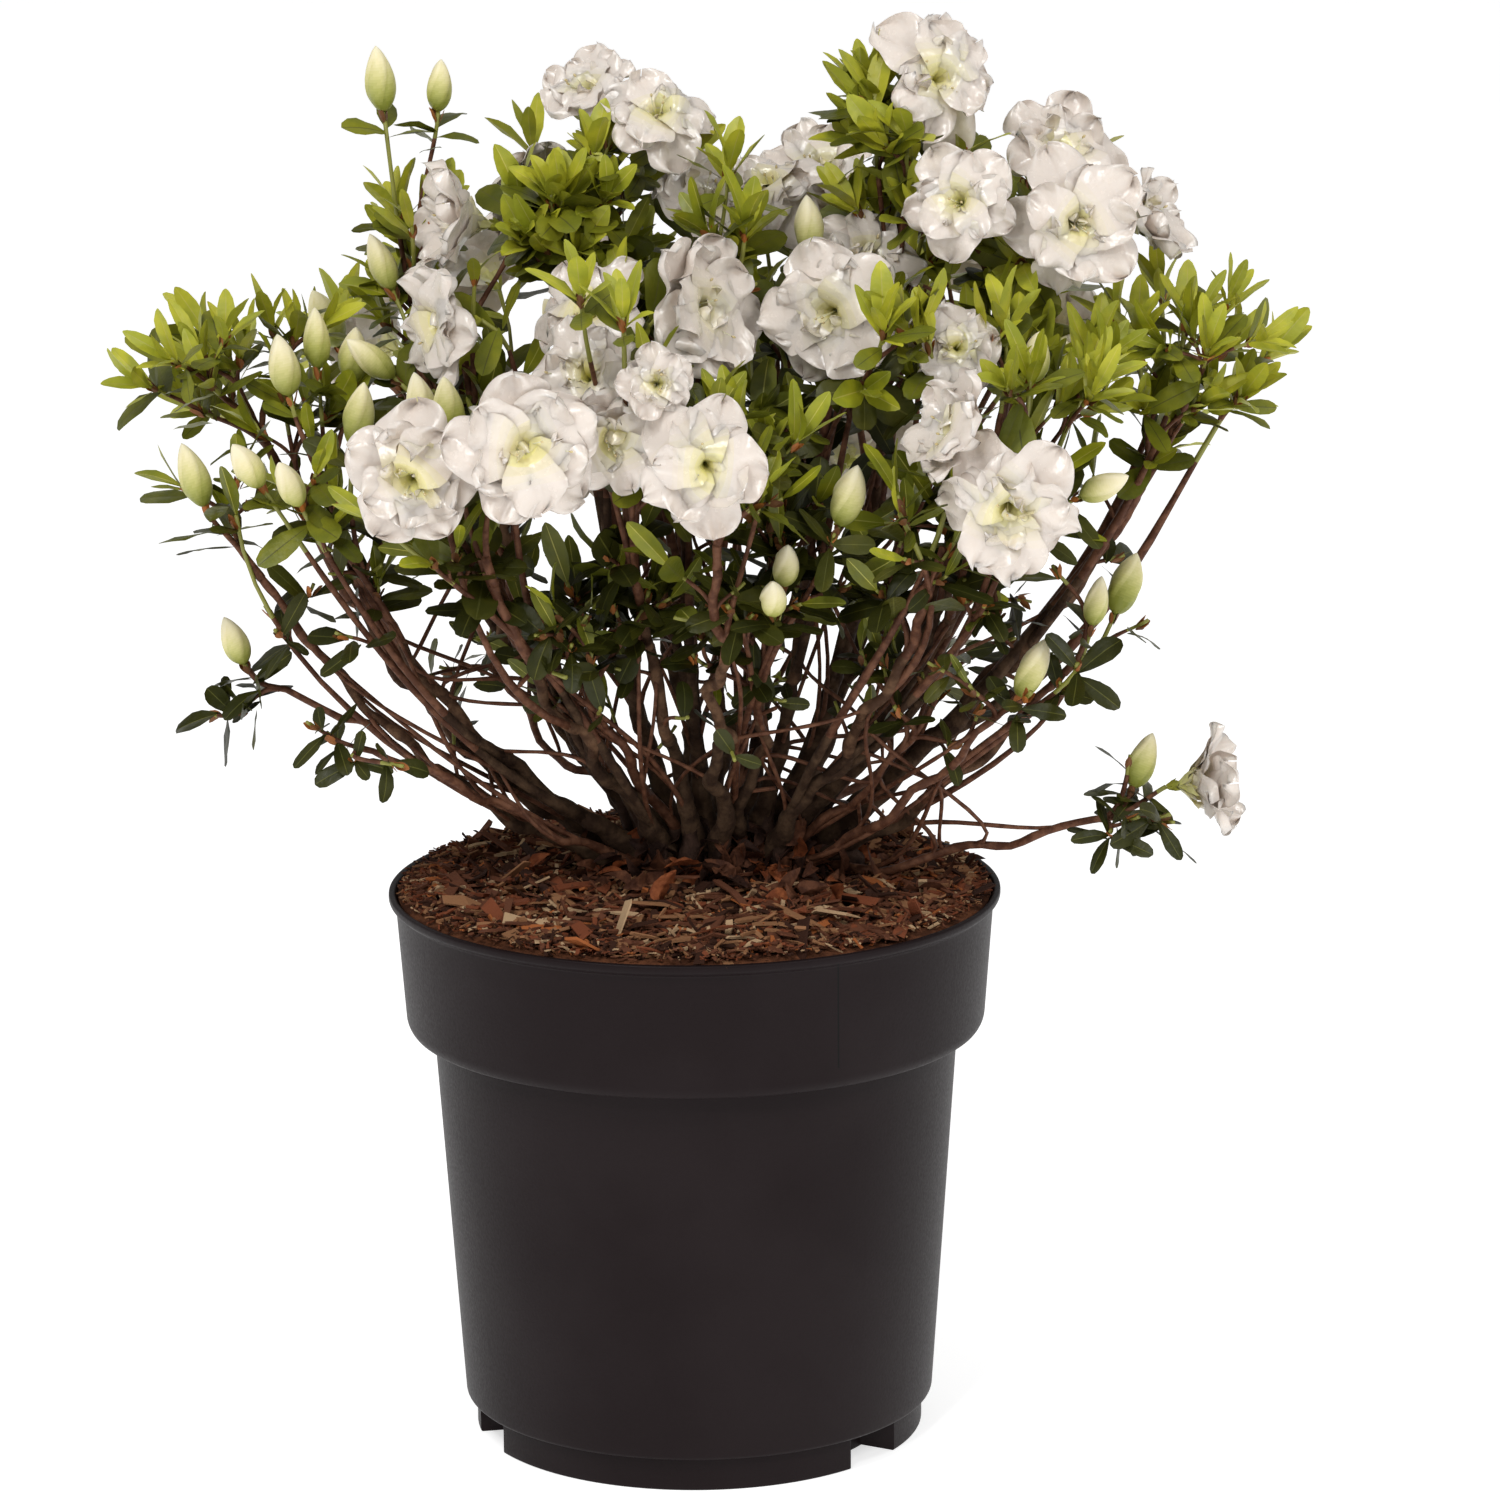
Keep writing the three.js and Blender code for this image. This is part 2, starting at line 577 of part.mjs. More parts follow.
// A straight twig from the stem to `end`. Each starts a little lower down the stem than the one before.
function twigTo(mass, end) {
  const apart = Math.min(TWIG.apart, (mass.row.stem - TWIG.margin) / shootCount(mass.row));
  const root = mass.fork.clone().addScaledVector(mass.along, -TWIG.inset - apart * mass.twigs);
  const line = new THREE.LineCurve3(root, end);
  mass.twigs += 1;
  const twig = solidOf(limbGeometry(line, TWIG.start, TWIG.end, TWIG.sides, 1));
  return tryPiece(mass, twig, null) ? line : null;
}

const shootCount = (row) => row.blooms.length + row.buds.length + row.leafy;

// Leaves wind round a shoot by the golden angle, close together at its tip, and open wider further down.
function leavesAlong(mass, { line, count, from, apart, open, widen }, seed) {
  const way = line.getTangent(1);
  for (let i = 0; i < count; i++) {
    const turn = GOLDEN_ANGLE * i + 2 * Math.PI * chance(mass.index, seed, 7);
    const swayed = SHOOT.jitter * (chance(mass.index, seed, 11 + i) - 0.5);
    const angle = THREE.MathUtils.degToRad(open + widen * i + swayed);
    const out = across(way).applyAxisAngle(way, turn);
    const along = way.clone().multiplyScalar(Math.cos(angle)).addScaledVector(out, Math.sin(angle));
    const face = way.clone().multiplyScalar(Math.sin(angle)).addScaledVector(out, -Math.cos(angle));
    const foot = line.v2.clone().addScaledVector(way, -from - apart * i);
    const size = LEAF.smallest + LEAF.growth * chance(mass.index, seed, 23 + i);
    tryPiece(mass, leafSolid(foot, along, face, size), line);
  }
}

// Leafy shoots open from the fork by the golden angle, the first nearly straight on.
function leafyEnds(mass, row) {
  const side = across(mass.along);
  return Array.from({ length: row.leafy }, (_, i) => {
    const open = THREE.MathUtils.degToRad(row.spread) * Math.sqrt((i + SHOOT.straightest) / row.leafy);
    const turn = GOLDEN_ANGLE * i + 2 * Math.PI * chance(mass.index, 0, 3);
    const out = side.clone().applyAxisAngle(mass.along, turn);
    const way = mass.along.clone().multiplyScalar(Math.cos(open)).addScaledVector(out, Math.sin(open));
    way.addScaledVector(up, SHOOT.upturn).normalize();
    const share = SHOOT.shortest + (1 - SHOOT.shortest) * chance(mass.index, i, 5);
    return mass.fork.clone().addScaledVector(way, share * row.reach);
  });
}

const TIP_LEAVES = { count: 5, from: 0.8, apart: 2.8, open: 34, widen: 10 };
const BLOOM_LEAVES = { count: 1, from: 5, apart: 4, open: 66, widen: 12 };
const BUD_LEAVES = { count: 1, from: 3, apart: 3, open: 58, widen: 12 };

// The fork of each mass. A short stem joins it to its bough; the fork of a spray is its own limb's tip.
function startMass(name, index, route) {
  const row = LIMBS[name];
  const along = route.getTangent(1);
  const tip = vector(row.tip);
  const mass = { name: "mass_" + name, index, row, along, pieces: [], shoots: [], twigs: 0 };
  if (row.spray) return { ...mass, name: "spray_" + name, fork: tip };
  mass.fork = tip.clone().addScaledVector(along, row.stem);
  const stem = new THREE.LineCurve3(tip.clone().addScaledVector(along, CLEAR), mass.fork);
  const tapered = limbGeometry(stem, row.end, row.end * BOUGH.stemTaper, BOUGH.sides, 1);
  mass.pieces.push(piece(solidOf(tapered)));
  return mass;
}

function growBlooms(mass) {
  mass.row.blooms.forEach(([x, y, z, bearing, rise, size], i) => {
    const facing = heading(bearing, rise);
    const mouth = new THREE.Vector3(x, y, z);
    const heel = mouth.clone().addScaledVector(facing, -BLOOM.twigDepth * BLOOM.depth * size);
    const line = twigTo(mass, heel);
    const placed = line && tryPiece(mass, bloomSolid(mouth, facing, size), line);
    if (!placed) console.error(`${mass.name}: bloom ${i} is skipped`);
    if (line) mass.shoots.push({ line, ...BLOOM_LEAVES });
  });
  mass.row.buds.forEach(([x, y, z], i) => {
    const foot = new THREE.Vector3(x, y, z);
    const way = foot.clone().sub(mass.fork).normalize().add(up).normalize();
    const line = twigTo(mass, foot.clone().addScaledVector(way, BUD.rootedBy));
    const placed = line && tryPiece(mass, budSolid(foot, way), line);
    if (!placed) console.error(`${mass.name}: bud ${i} is skipped`);
    if (line) mass.shoots.push({ line, ...BUD_LEAVES });
  });
}

function growShoots(mass) {
  for (const end of leafyEnds(mass, mass.row)) {
    const line = twigTo(mass, end);
    if (line) mass.shoots.push({ line, ...TIP_LEAVES });
  }
}

const growLeaves = (mass) => mass.shoots.forEach((shoot, k) => leavesAlong(mass, shoot, 100 + k));

// ---------------------------------------------------------------- finishes and assembly

const finish = (color, roughness) => new THREE.MeshStandardMaterial({ color, roughness, metalness: 0 });
const PLASTIC = finish("#2d2829", 0.5);
const MULCH = finish("#5a3826", 0.95);
const BARK = finish("#4a332b", 0.85);
const FOLIAGE = finish("#6c8a34", 0.45);

const azalea = new THREE.Group();

function addNode(name, solid, material) {
  const mesh = new THREE.Mesh(geometryOf(solid), material);
  mesh.name = name;
  azalea.add(mesh);
}

const pot = potSolid();
const compost = compostSolid();
const crown = crownSolid(0);
addNode("pot", pot, PLASTIC);
addNode("compost", compost, MULCH);
addNode("woody_crown", crown, BARK);
firm.push(piece(pot), piece(compost), piece(crown));

const crownAndGap = crownSolid(CROWN.gap);
limbRoutes().forEach((route, i) => {
  const row = LIMBS[names[i]];
  const sides = row.spray ? BOUGH.spraySides : BOUGH.sides;
  const whole = solidOf(limbGeometry(route, row.base, row.end, sides, BOUGH.steps));
  const limb = piece(largestBody(whole.subtract(crownAndGap)));
  const mass = startMass(names[i], i, route);
  if (meets(limb, firm, LEAST_GAP)) console.error(`${names[i]}: its limb meets another`);
  if (row.spray) {
    mass.pieces.push(limb);
  } else {
    firm.push(limb);
    addNode("bough_" + names[i], limb.solid, BARK);
  }
  growth.push(mass);
});

growth.forEach(growBlooms);
growth.forEach(growShoots);
growth.forEach(growLeaves);
for (const mass of growth) {
  const whole = wasm.Manifold.union(mass.pieces.map(({ solid }) => solid));
  addNode(mass.name, largestBody(whole), FOLIAGE);
}

export default azalea;
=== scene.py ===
"""A white double azalea in full flower, in its 23 cm nursery pot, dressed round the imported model.

Sizes are in millimetres until add_piece puts them into a mesh. The origin is the centre of the pot's
foot, +Z is up and -Y is the front. Bearings run from +X towards +Y, and they and rises are in degrees.
"""

import bpy
import numpy as np
from mathutils import Matrix, Vector

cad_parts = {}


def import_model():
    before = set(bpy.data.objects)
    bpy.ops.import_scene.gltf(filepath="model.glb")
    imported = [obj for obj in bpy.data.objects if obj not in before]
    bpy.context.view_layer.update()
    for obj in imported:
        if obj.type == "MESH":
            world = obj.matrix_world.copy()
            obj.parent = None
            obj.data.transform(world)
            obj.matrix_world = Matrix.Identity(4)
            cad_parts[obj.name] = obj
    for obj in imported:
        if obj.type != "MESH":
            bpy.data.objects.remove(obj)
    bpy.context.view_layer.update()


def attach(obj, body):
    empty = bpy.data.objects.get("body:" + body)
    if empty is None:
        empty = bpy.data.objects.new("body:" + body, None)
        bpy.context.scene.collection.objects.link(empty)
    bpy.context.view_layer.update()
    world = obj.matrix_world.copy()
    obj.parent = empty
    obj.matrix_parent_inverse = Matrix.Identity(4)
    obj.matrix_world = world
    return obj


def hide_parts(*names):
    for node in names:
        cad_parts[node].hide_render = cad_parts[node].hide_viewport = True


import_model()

# ---------------------------------------------------------------- nursery pot
# The pot is one injection moulding in black polypropylene: a tapering wall, a wider collar to lift it
# by, a small rolled lip, and a foot ring with three drain notches. Its skin is satin, with a fine grain
# and a little dust from the compost, and the collar has one hairline split.

MM = 0.001
POT_FOOT_RADIUS = 85
POT_INSIDE_RADIUS = 110.4
POT_COLUMNS = 216
POT_ROW = 9
NOTCHES = {"count": 3, "bearing": -39, "width": 26, "depth": 14, "height": 11.9}
SPLIT = {"x": 52.5, "width": 0.3, "low": 166, "high": 207}

# radius, height, and how far the corner is rounded
POT_OUTLINE = [
    (70, 0, 0), (85, 0, 0.8), (85, 11.9, 0.02), (85, 12.1, 0.08), (89, 13.4, 1.2), (98.9, 156.6, 1.2),
    (99.6, 158.4, 0.5), (107.4, 157.8, 1.2), (109, 160.5, 1.6), (112.4, 205.4, 0.8), (113.6, 206, 0.5),
    (115, 207.2, 0.9), (115, 210, 1.1), (112.6, 210, 1.1), (POT_INSIDE_RADIUS, 203, 3), (107, 162, 1.5),
    (97, 160, 2), (87, 18, 2), (60, 16, 0),
]


def unit(vectors):
    """Each vector divided by its own length."""
    return vectors / np.linalg.norm(vectors, axis=-1, keepdims=True)


def rounded_outline(corners, steps=5):
    """The line through the corners. Each inner corner becomes a parabola: the weighted sum of a point
    before it, the corner, and a point after it, both as far from the corner as its third number."""
    corners = np.array(corners, float)
    corner, reach = corners[1:-1, :2], corners[1:-1, 2:]
    start = corner + reach * unit(corners[:-2, :2] - corner)
    end = corner + reach * unit(corners[2:, :2] - corner)
    share = np.linspace(0, 1, steps)[:, None, None]
    arcs = (1 - share) ** 2 * start + 2 * share * (1 - share) * corner + share**2 * end
    inner = arcs.transpose(1, 0, 2).reshape(-1, 2)
    return np.concatenate([corners[:1, :2], inner, corners[-1:, :2]])


def with_more_rows(outline, spacing):
    """The same line, with further points wherever the distance along it is a multiple of spacing."""
    gone = np.concatenate([[0], np.cumsum(np.linalg.norm(np.diff(outline, axis=0), axis=1))])
    stops = np.union1d(gone, np.arange(0, gone[-1], spacing))
    return np.stack([np.interp(stops, gone, outline[:, k]) for k in range(2)], axis=1)


def skin(points, tint=0, closed=True):
    """Four-sided faces over grids of points, an array of pieces by rows by columns by 3. A closed grid
    joins its last column to its first and caps its two end rows. tint numbers the finish of a face."""
    pieces, rows, columns = points.shape[:3]
    row = np.arange(rows - 1)[:, None]
    column = np.arange(columns if closed else columns - 1)[None, :]
    ahead = (column + 1) % columns
    low, high = row * columns, (row + 1) * columns
    one = np.stack(np.broadcast_arrays(low + column, low + ahead, high + ahead, high + column), axis=-1)
    first = np.arange(pieces)[:, None] * rows * columns
    quads = one[None] + first[:, :, None, None]
    tints = np.broadcast_to(tint, quads.shape[:3])
    faces, dealt = [quads.reshape(-1, 4)], [tints.ravel()]
    if closed:
        ring = np.arange(columns)
        faces += [first + ring[::-1], first + (rows - 1) * columns + ring]
        dealt += [tints[:, 0, 0], tints[:, -1, 0]]
    return points.reshape(-1, 3), faces, dealt


def add_piece(name, skins, finishes, smooth=True):
    """One mesh made of skins, each moved on by the number of points before it, riding on the shrub."""
    loops, sizes, dealt, count = [], [], [], 0
    for points, faces, tints in skins:
        loops += [(face + count).ravel() for face in faces]
        sizes += [np.full(len(face), face.shape[1]) for face in faces]
        dealt += tints
        count += len(points)
    sizes = np.concatenate(sizes)
    mesh = bpy.data.meshes.new(name)
    mesh.vertices.add(count)
    mesh.vertices.foreach_set("co", np.concatenate([points for points, _, _ in skins]).ravel() * MM)
    mesh.loops.add(sizes.sum())
    mesh.loops.foreach_set("vertex_index", np.concatenate(loops))
    mesh.polygons.add(len(sizes))
    mesh.polygons.foreach_set("loop_start", np.cumsum(sizes) - sizes)
    mesh.polygons.foreach_set("material_index", np.concatenate(dealt))
    mesh.polygons.foreach_set("use_smooth", np.full(len(sizes), smooth))
    mesh.update(calc_edges=True)
    mesh.validate()
    for material in finishes:
        mesh.materials.append(material)
    piece = bpy.data.objects.new(name, mesh)
    bpy.context.scene.collection.objects.link(piece)
    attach(piece, "root")
    return piece


def grain_group():
    """Noise on Object coordinates. Fine noise gives a height and a roughness between two values, and
    coarse noise gives a mask of patches."""
    group = bpy.data.node_groups.new("grain and patches", "ShaderNodeTree")
    for label in ("Grain scale", "Patch scale", "Roughness low", "Roughness high"):
        group.interface.new_socket(name=label, in_out="INPUT", socket_type="NodeSocketFloat")
    for label in ("Height", "Roughness", "Patches"):
        group.interface.new_socket(name=label, in_out="OUTPUT", socket_type="NodeSocketFloat")
    nodes, links = group.nodes, group.links
    given, result = nodes.new("NodeGroupInput"), nodes.new("NodeGroupOutput")
    place = nodes.new("ShaderNodeTexCoord")
    fine, coarse = nodes.new("ShaderNodeTexNoise"), nodes.new("ShaderNodeTexNoise")
    fine.inputs["Detail"].default_value = 4
    coarse.inputs["Detail"].default_value = 3
    for noise, scale in ((fine, "Grain scale"), (coarse, "Patch scale")):
        links.new(place.outputs["Object"], noise.inputs["Vector"])
        links.new(given.outputs[scale], noise.inputs["Scale"])
    rough, patches = nodes.new("ShaderNodeMapRange"), nodes.new("ShaderNodeMapRange")
    for ranged, noise, low, high in ((rough, fine, 0.3, 0.7), (patches, coarse, 0.42, 0.62)):
        links.new(noise.outputs["Fac"], ranged.inputs["Value"])
        ranged.inputs["From Min"].default_value = low
        ranged.inputs["From Max"].default_value = high
    links.new(given.outputs["Roughness low"], rough.inputs["To Min"])
    links.new(given.outputs["Roughness high"], rough.inputs["To Max"])
    links.new(fine.outputs["Fac"], result.inputs["Height"])
    links.new(rough.outputs["Result"], result.inputs["Roughness"])
    links.new(patches.outputs["Result"], result.inputs["Patches"])
    return group


GRAIN = grain_group()


def finish(name, colour, roughness, grain, bump, patches=None, **constants):
    """A surface with a roughness range, and a relief of `bump` millimetres at `grain` waves a metre.
    `patches` is a second colour and the waves a metre of the patches that it comes in."""
    material = bpy.data.materials.new(name)
    material.use_nodes = True
    nodes, links = material.node_tree.nodes, material.node_tree.links
    shader = nodes["Principled BSDF"]
    worn = nodes.new("ShaderNodeGroup")
    worn.node_tree = GRAIN
    worn.inputs["Grain scale"].default_value = grain
    worn.inputs["Roughness low"].default_value = roughness[0]
    worn.inputs["Roughness high"].default_value = roughness[1]
    links.new(worn.outputs["Roughness"], shader.inputs["Roughness"])
    relief = nodes.new("ShaderNodeBump")
    relief.inputs["Distance"].default_value = bump * MM
    links.new(worn.outputs["Height"], relief.inputs["Height"])
    links.new(relief.outputs["Normal"], shader.inputs["Normal"])
    shader.inputs["Base Color"].default_value = (*colour, 1)
    if patches:
        second, scale = patches
        worn.inputs["Patch scale"].default_value = scale
        mix = nodes.new("ShaderNodeMix")
        mix.data_type = "RGBA"
        mix.inputs["A"].default_value = (*colour, 1)
        mix.inputs["B"].default_value = (*second, 1)
        links.new(worn.outputs["Patches"], mix.inputs["Factor"])
        links.new(mix.outputs["Result"], shader.inputs["Base Color"])
    for socket, value in constants.items():
        shader.inputs[socket.replace("_", " ")].default_value = value
    return material


def darken_split(material):
    """Black where X is within the split's width of its line, Y is at the front and Z is between its
    ends: the product of four yes-or-no values mixes black over the colour."""
    nodes, links = material.node_tree.nodes, material.node_tree.links
    place, apart = nodes.new("ShaderNodeTexCoord"), nodes.new("ShaderNodeSeparateXYZ")
    links.new(place.outputs["Object"], apart.inputs["Vector"])
    near = nodes.new("ShaderNodeMath")
    near.operation = "COMPARE"
    near.inputs[1].default_value = SPLIT["x"] * MM
    near.inputs[2].default_value = SPLIT["width"] * MM
    links.new(apart.outputs["X"], near.inputs[0])
    mask = near.outputs["Value"]
    for axis, test, limit in (("Y", "LESS_THAN", 0), ("Z", "GREATER_THAN", SPLIT["low"]),
                              ("Z", "LESS_THAN", SPLIT["high"])):
        side, both = nodes.new("ShaderNodeMath"), nodes.new("ShaderNodeMath")
        side.operation, both.operation = test, "MULTIPLY"
        side.inputs[1].default_value = limit * MM
        links.new(apart.outputs[axis], side.inputs[0])
        links.new(mask, both.inputs[0])
        links.new(side.outputs["Value"], both.inputs[1])
        mask = both.outputs["Value"]
    over = nodes.new("ShaderNodeMix")
    over.data_type = "RGBA"
    over.inputs["B"].default_value = (0.004, 0.004, 0.004, 1)
    shader = nodes["Principled BSDF"]
    links.new(shader.inputs["Base Color"].links[0].from_socket, over.inputs["A"])
    links.new(mask, over.inputs["Factor"])
    links.new(over.outputs["Result"], shader.inputs["Base Color"])


def pot_grid():
    """The outline turned about Z. Inside a notch's width, points of the foot ring below its height
    stand at the notch's own radius."""
    radius, height = with_more_rows(rounded_outline(POT_OUTLINE), POT_ROW).T[:, :, None]
    half = np.arcsin(NOTCHES["width"] / 2 / POT_FOOT_RADIUS)
    middles = np.radians(NOTCHES["bearing"] + 360 / NOTCHES["count"] * np.arange(NOTCHES["count"]))
    hair = 0.002
    edges = (middles[:, None] + [-half - hair, -half + hair, half - hair, half + hair]) % (2 * np.pi)
    turn = np.union1d(np.linspace(0, 2 * np.pi, POT_COLUMNS, endpoint=False), edges)
    away = np.abs((turn - middles[:, None] + np.pi) % (2 * np.pi) - np.pi).min(axis=0)
    cut = (away < half) & (height < NOTCHES["height"] + 0.01)
    radius = np.where(cut, np.minimum(radius, POT_FOOT_RADIUS - NOTCHES["depth"]), radius)
    return np.stack([radius * np.cos(turn), radius * np.sin(turn), height + 0 * turn], axis=-1)[None]


plastic = finish("satin black plastic", (0.0096, 0.0052, 0.0058), (0.4, 0.52), 900, 0.05,
                 patches=((0.0128, 0.0079, 0.0086), 14), Specular_IOR_Level=0.105)
darken_split(plastic)
pot = add_piece("nursery_pot", [skin(pot_grid())], [plastic])
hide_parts("pot")

# ---------------------------------------------------------------- compost
# The pot is filled to its lip with bark compost, heaped a little above it, and the bed closes at the
# wall. It is dug over and uneven, so its top is worked out as a low mound with ripples of two sizes.

COMPOST = {"foot": 186, "wall": 202.5, "edge": 208.6, "middle": 214.5, "radius": POT_INSIDE_RADIUS + 1.1,
           "clods": (1.1, 38), "crumbs": (0.6, 9)}


def ripple(places, wave, seed, count=7):
    """A smooth value near -1 to 1: the sum of sines along random directions, whose wavelengths are
    around `wave`."""
    draw = np.random.default_rng(seed)
    ways = unit(draw.normal(size=(count, 3))) * 2 * np.pi / (wave * draw.uniform(0.7, 1.6, (count, 1)))
    return np.sin(places @ ways.T + draw.uniform(0, 2 * np.pi, count)).sum(-1) / np.sqrt(count)


def compost_height(x, y):
    """The bed's height: a dome from the edge to the middle, plus the ripple of the clods and that of the
    crumbs, each a height and a wavelength, which fade towards the edge."""
    share = np.clip(np.hypot(x, y) / COMPOST["radius"], 0, 1)
    dome = COMPOST["edge"] + (COMPOST["middle"] - COMPOST["edge"]) * (1 - share**4)
    flat = np.stack([x, y, 0 * x], axis=-1)
    (clod, clod_wave), (crumb, crumb_wave) = COMPOST["clods"], COMPOST["crumbs"]
    uneven = clod * ripple(flat, clod_wave, 1) + crumb * ripple(flat, crumb_wave, 2)
    return dome + uneven * (1 - share**8)


def compost_grid(rows=46, columns=120):
    """A flat underside and a wall, then rings that shrink towards the middle at the bed's height."""
    turn = np.linspace(0, 2 * np.pi, columns, endpoint=False)
    under = np.array([30, COMPOST["radius"] - 4.4, COMPOST["radius"] - 2.2])[:, None]
    radius = np.concatenate([under, COMPOST["radius"] * np.linspace(1, 0.01, rows)[:, None]])
    x, y = radius * np.cos(turn), radius * np.sin(turn)
    height = compost_height(x, y)
    height[:2] = COMPOST["foot"]
    height[2] = COMPOST["wall"]
    return np.stack([x, y, height], axis=-1)[None]


earth = finish("bark compost", (0.06, 0.022, 0.011), (0.85, 0.98), 700, 0.9,
               patches=((0.14, 0.052, 0.024), 160), Specular_IOR_Level=0.1)
compost = add_piece("compost_bed", [skin(compost_grid())], [earth])
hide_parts("compost")

# ---------------------------------------------------------------- mulch
# Loose chips of pine bark and splinters of wood lie all over the compost, most of them dark, some rust
# red, tan or bleached. Each is a small bent slat, and the last ones lie across the lip.

CHIP_SHARES = [0.2, 0.33, 0.18, 0.18, 0.07, 0.04]
CHIP = {"thick": (0.5, 1.3), "bend": 0.06, "raised": 0.5, "piled": 2.6, "by_the_wall": 9,
        "smallest_there": 0.45}


def turned(points, yaw, pitch, roll):
    """Points turned about X by roll, then Y by pitch, then Z by yaw, one angle of each a piece."""
    x, y, z = np.moveaxis(points, -1, 0)
    for angle, axis in ((roll, "x"), (pitch, "y"), (yaw, "z")):
        cosine, sine = np.cos(angle)[:, None, None], np.sin(angle)[:, None, None]
        if axis == "x":
            y, z = y * cosine - z * sine, y * sine + z * cosine
        elif axis == "y":
            x, z = x * cosine + z * sine, z * cosine - x * sine
        else:
            x, y = x * cosine - y * sine, x * sine + y * cosine
    return np.stack([x, y, z], axis=-1)


def slats(draw, length, width, thick, arch):
    """Boxes of three sections: along X by length, across by width, which each section varies, and
    raised in the middle by arch. Y is turned over so that the faces look outwards."""
    count = len(length)
    share = np.array([-0.5, 0, 0.5])[None, :, None]
    corner_y = np.array([-1, 1, 1, -1])[None, None, :]
    corner_z = np.array([-1, -1, 1, 1])[None, None, :]
    wide = width[:, None, None] * draw.uniform(0.25, 0.6, (count, 3, 1))
    x = length[:, None, None] * (share + draw.uniform(-0.08, 0.08, (count, 3, 4)))
    y = wide * corner_y + width[:, None, None] * draw.uniform(-0.15, 0.15, (count, 3, 1))
    z = thick[:, None, None] * corner_z / 2 + arch[:, None, None] * (1 - 4 * share**2)
    return np.stack(np.broadcast_arrays(x, -y, z), axis=-1)


def scattered_chips(count, longest, widest, steep, reach, seed, nearest=0):
    """Slats strewn evenly over the bed, or over a ring of it: their distances are the square root of an
    even draw between two squares."""
    draw = np.random.default_rng(seed)
    length = longest * draw.uniform(0.25, 1, count) ** 1.6
    width = np.minimum(widest * draw.uniform(0.15, 1, count) ** 1.4, 0.6 * length)
    thick = draw.uniform(*CHIP["thick"], count)
    chips = slats(draw, length, width, thick, CHIP["bend"] * length * draw.normal(size=count))
    lean = np.radians(steep)
    chips = turned(chips, draw.uniform(0, np.pi * 2, count), draw.normal(0, lean, count),
                   draw.normal(0, lean, count))
    distance = np.sqrt(draw.uniform(nearest**2, reach**2, count))
    bearing = draw.uniform(0, 2 * np.pi, count)
    x, y = distance * np.cos(bearing), distance * np.sin(bearing)
    room = np.clip((COMPOST["radius"] - distance) / CHIP["by_the_wall"], CHIP["smallest_there"], 1)
    height = compost_height(x, y) + draw.uniform(0, CHIP["piled"], count) + CHIP["raised"] + 1.2 * (1 - room)
    chips *= room[:, None, None, None]
    chips += np.stack([x, y, height], axis=-1)[:, None, None]
    tints = draw.choice(len(CHIP_SHARES), size=(count, 1, 1), p=CHIP_SHARES)
    return skin(chips, tints)


def chip_finish(name, colour):
    return finish(name, colour, (0.75, 0.95), 1500, 0.35, Specular_IOR_Level=0.12)


chip_finishes = [
    chip_finish("wet dark bark", (0.039, 0.0155, 0.0092)),
    chip_finish("brown bark", (0.12, 0.0445, 0.0235)),
    chip_finish("rust bark", (0.175, 0.051, 0.0225)),
    chip_finish("tan wood", (0.262, 0.126, 0.06)),
    chip_finish("bleached wood", (0.45, 0.3, 0.172)),
    chip_finish("orange bark", (0.34, 0.106, 0.033)),
]
add_piece("mulch_chips", [
    scattered_chips(3000, 10, 3.6, 20, 110, 11),
    scattered_chips(2400, 18, 1.5, 15, 109, 12),
    scattered_chips(700, 28, 8, 17, 105, 13),
    scattered_chips(60, 46, 3, 8, 88, 14),
    scattered_chips(1900, 11, 3.8, 16, 111, 15, 94),
], chip_finishes, smooth=False)

# ---------------------------------------------------------------- where the limbs run
# Every limb rises from one woody crown. A limb is a curve from its heel in the crown to its tip, and the
# rows and the rule below are the ones that the solid model is made by. A bloom is the x, y, z of its
# mouth, the bearing and rise that it faces, and its size; a bud is the x, y, z of its foot.


def limb(tip, lift, arrive, base, end, stem, leafy, reach, spread, blooms=(), buds=(), spray=False):
    """A row of the table: where a limb goes, how thick it is, and what its end carries."""
    return {
        "tip": np.array(tip, float), "lift": lift, "arrive": arrive, "base": base, "end": end,
        "stem": stem, "leafy": leafy, "reach": reach, "spread": spread, "blooms": blooms, "buds": buds,
        "spray": spray,
    }


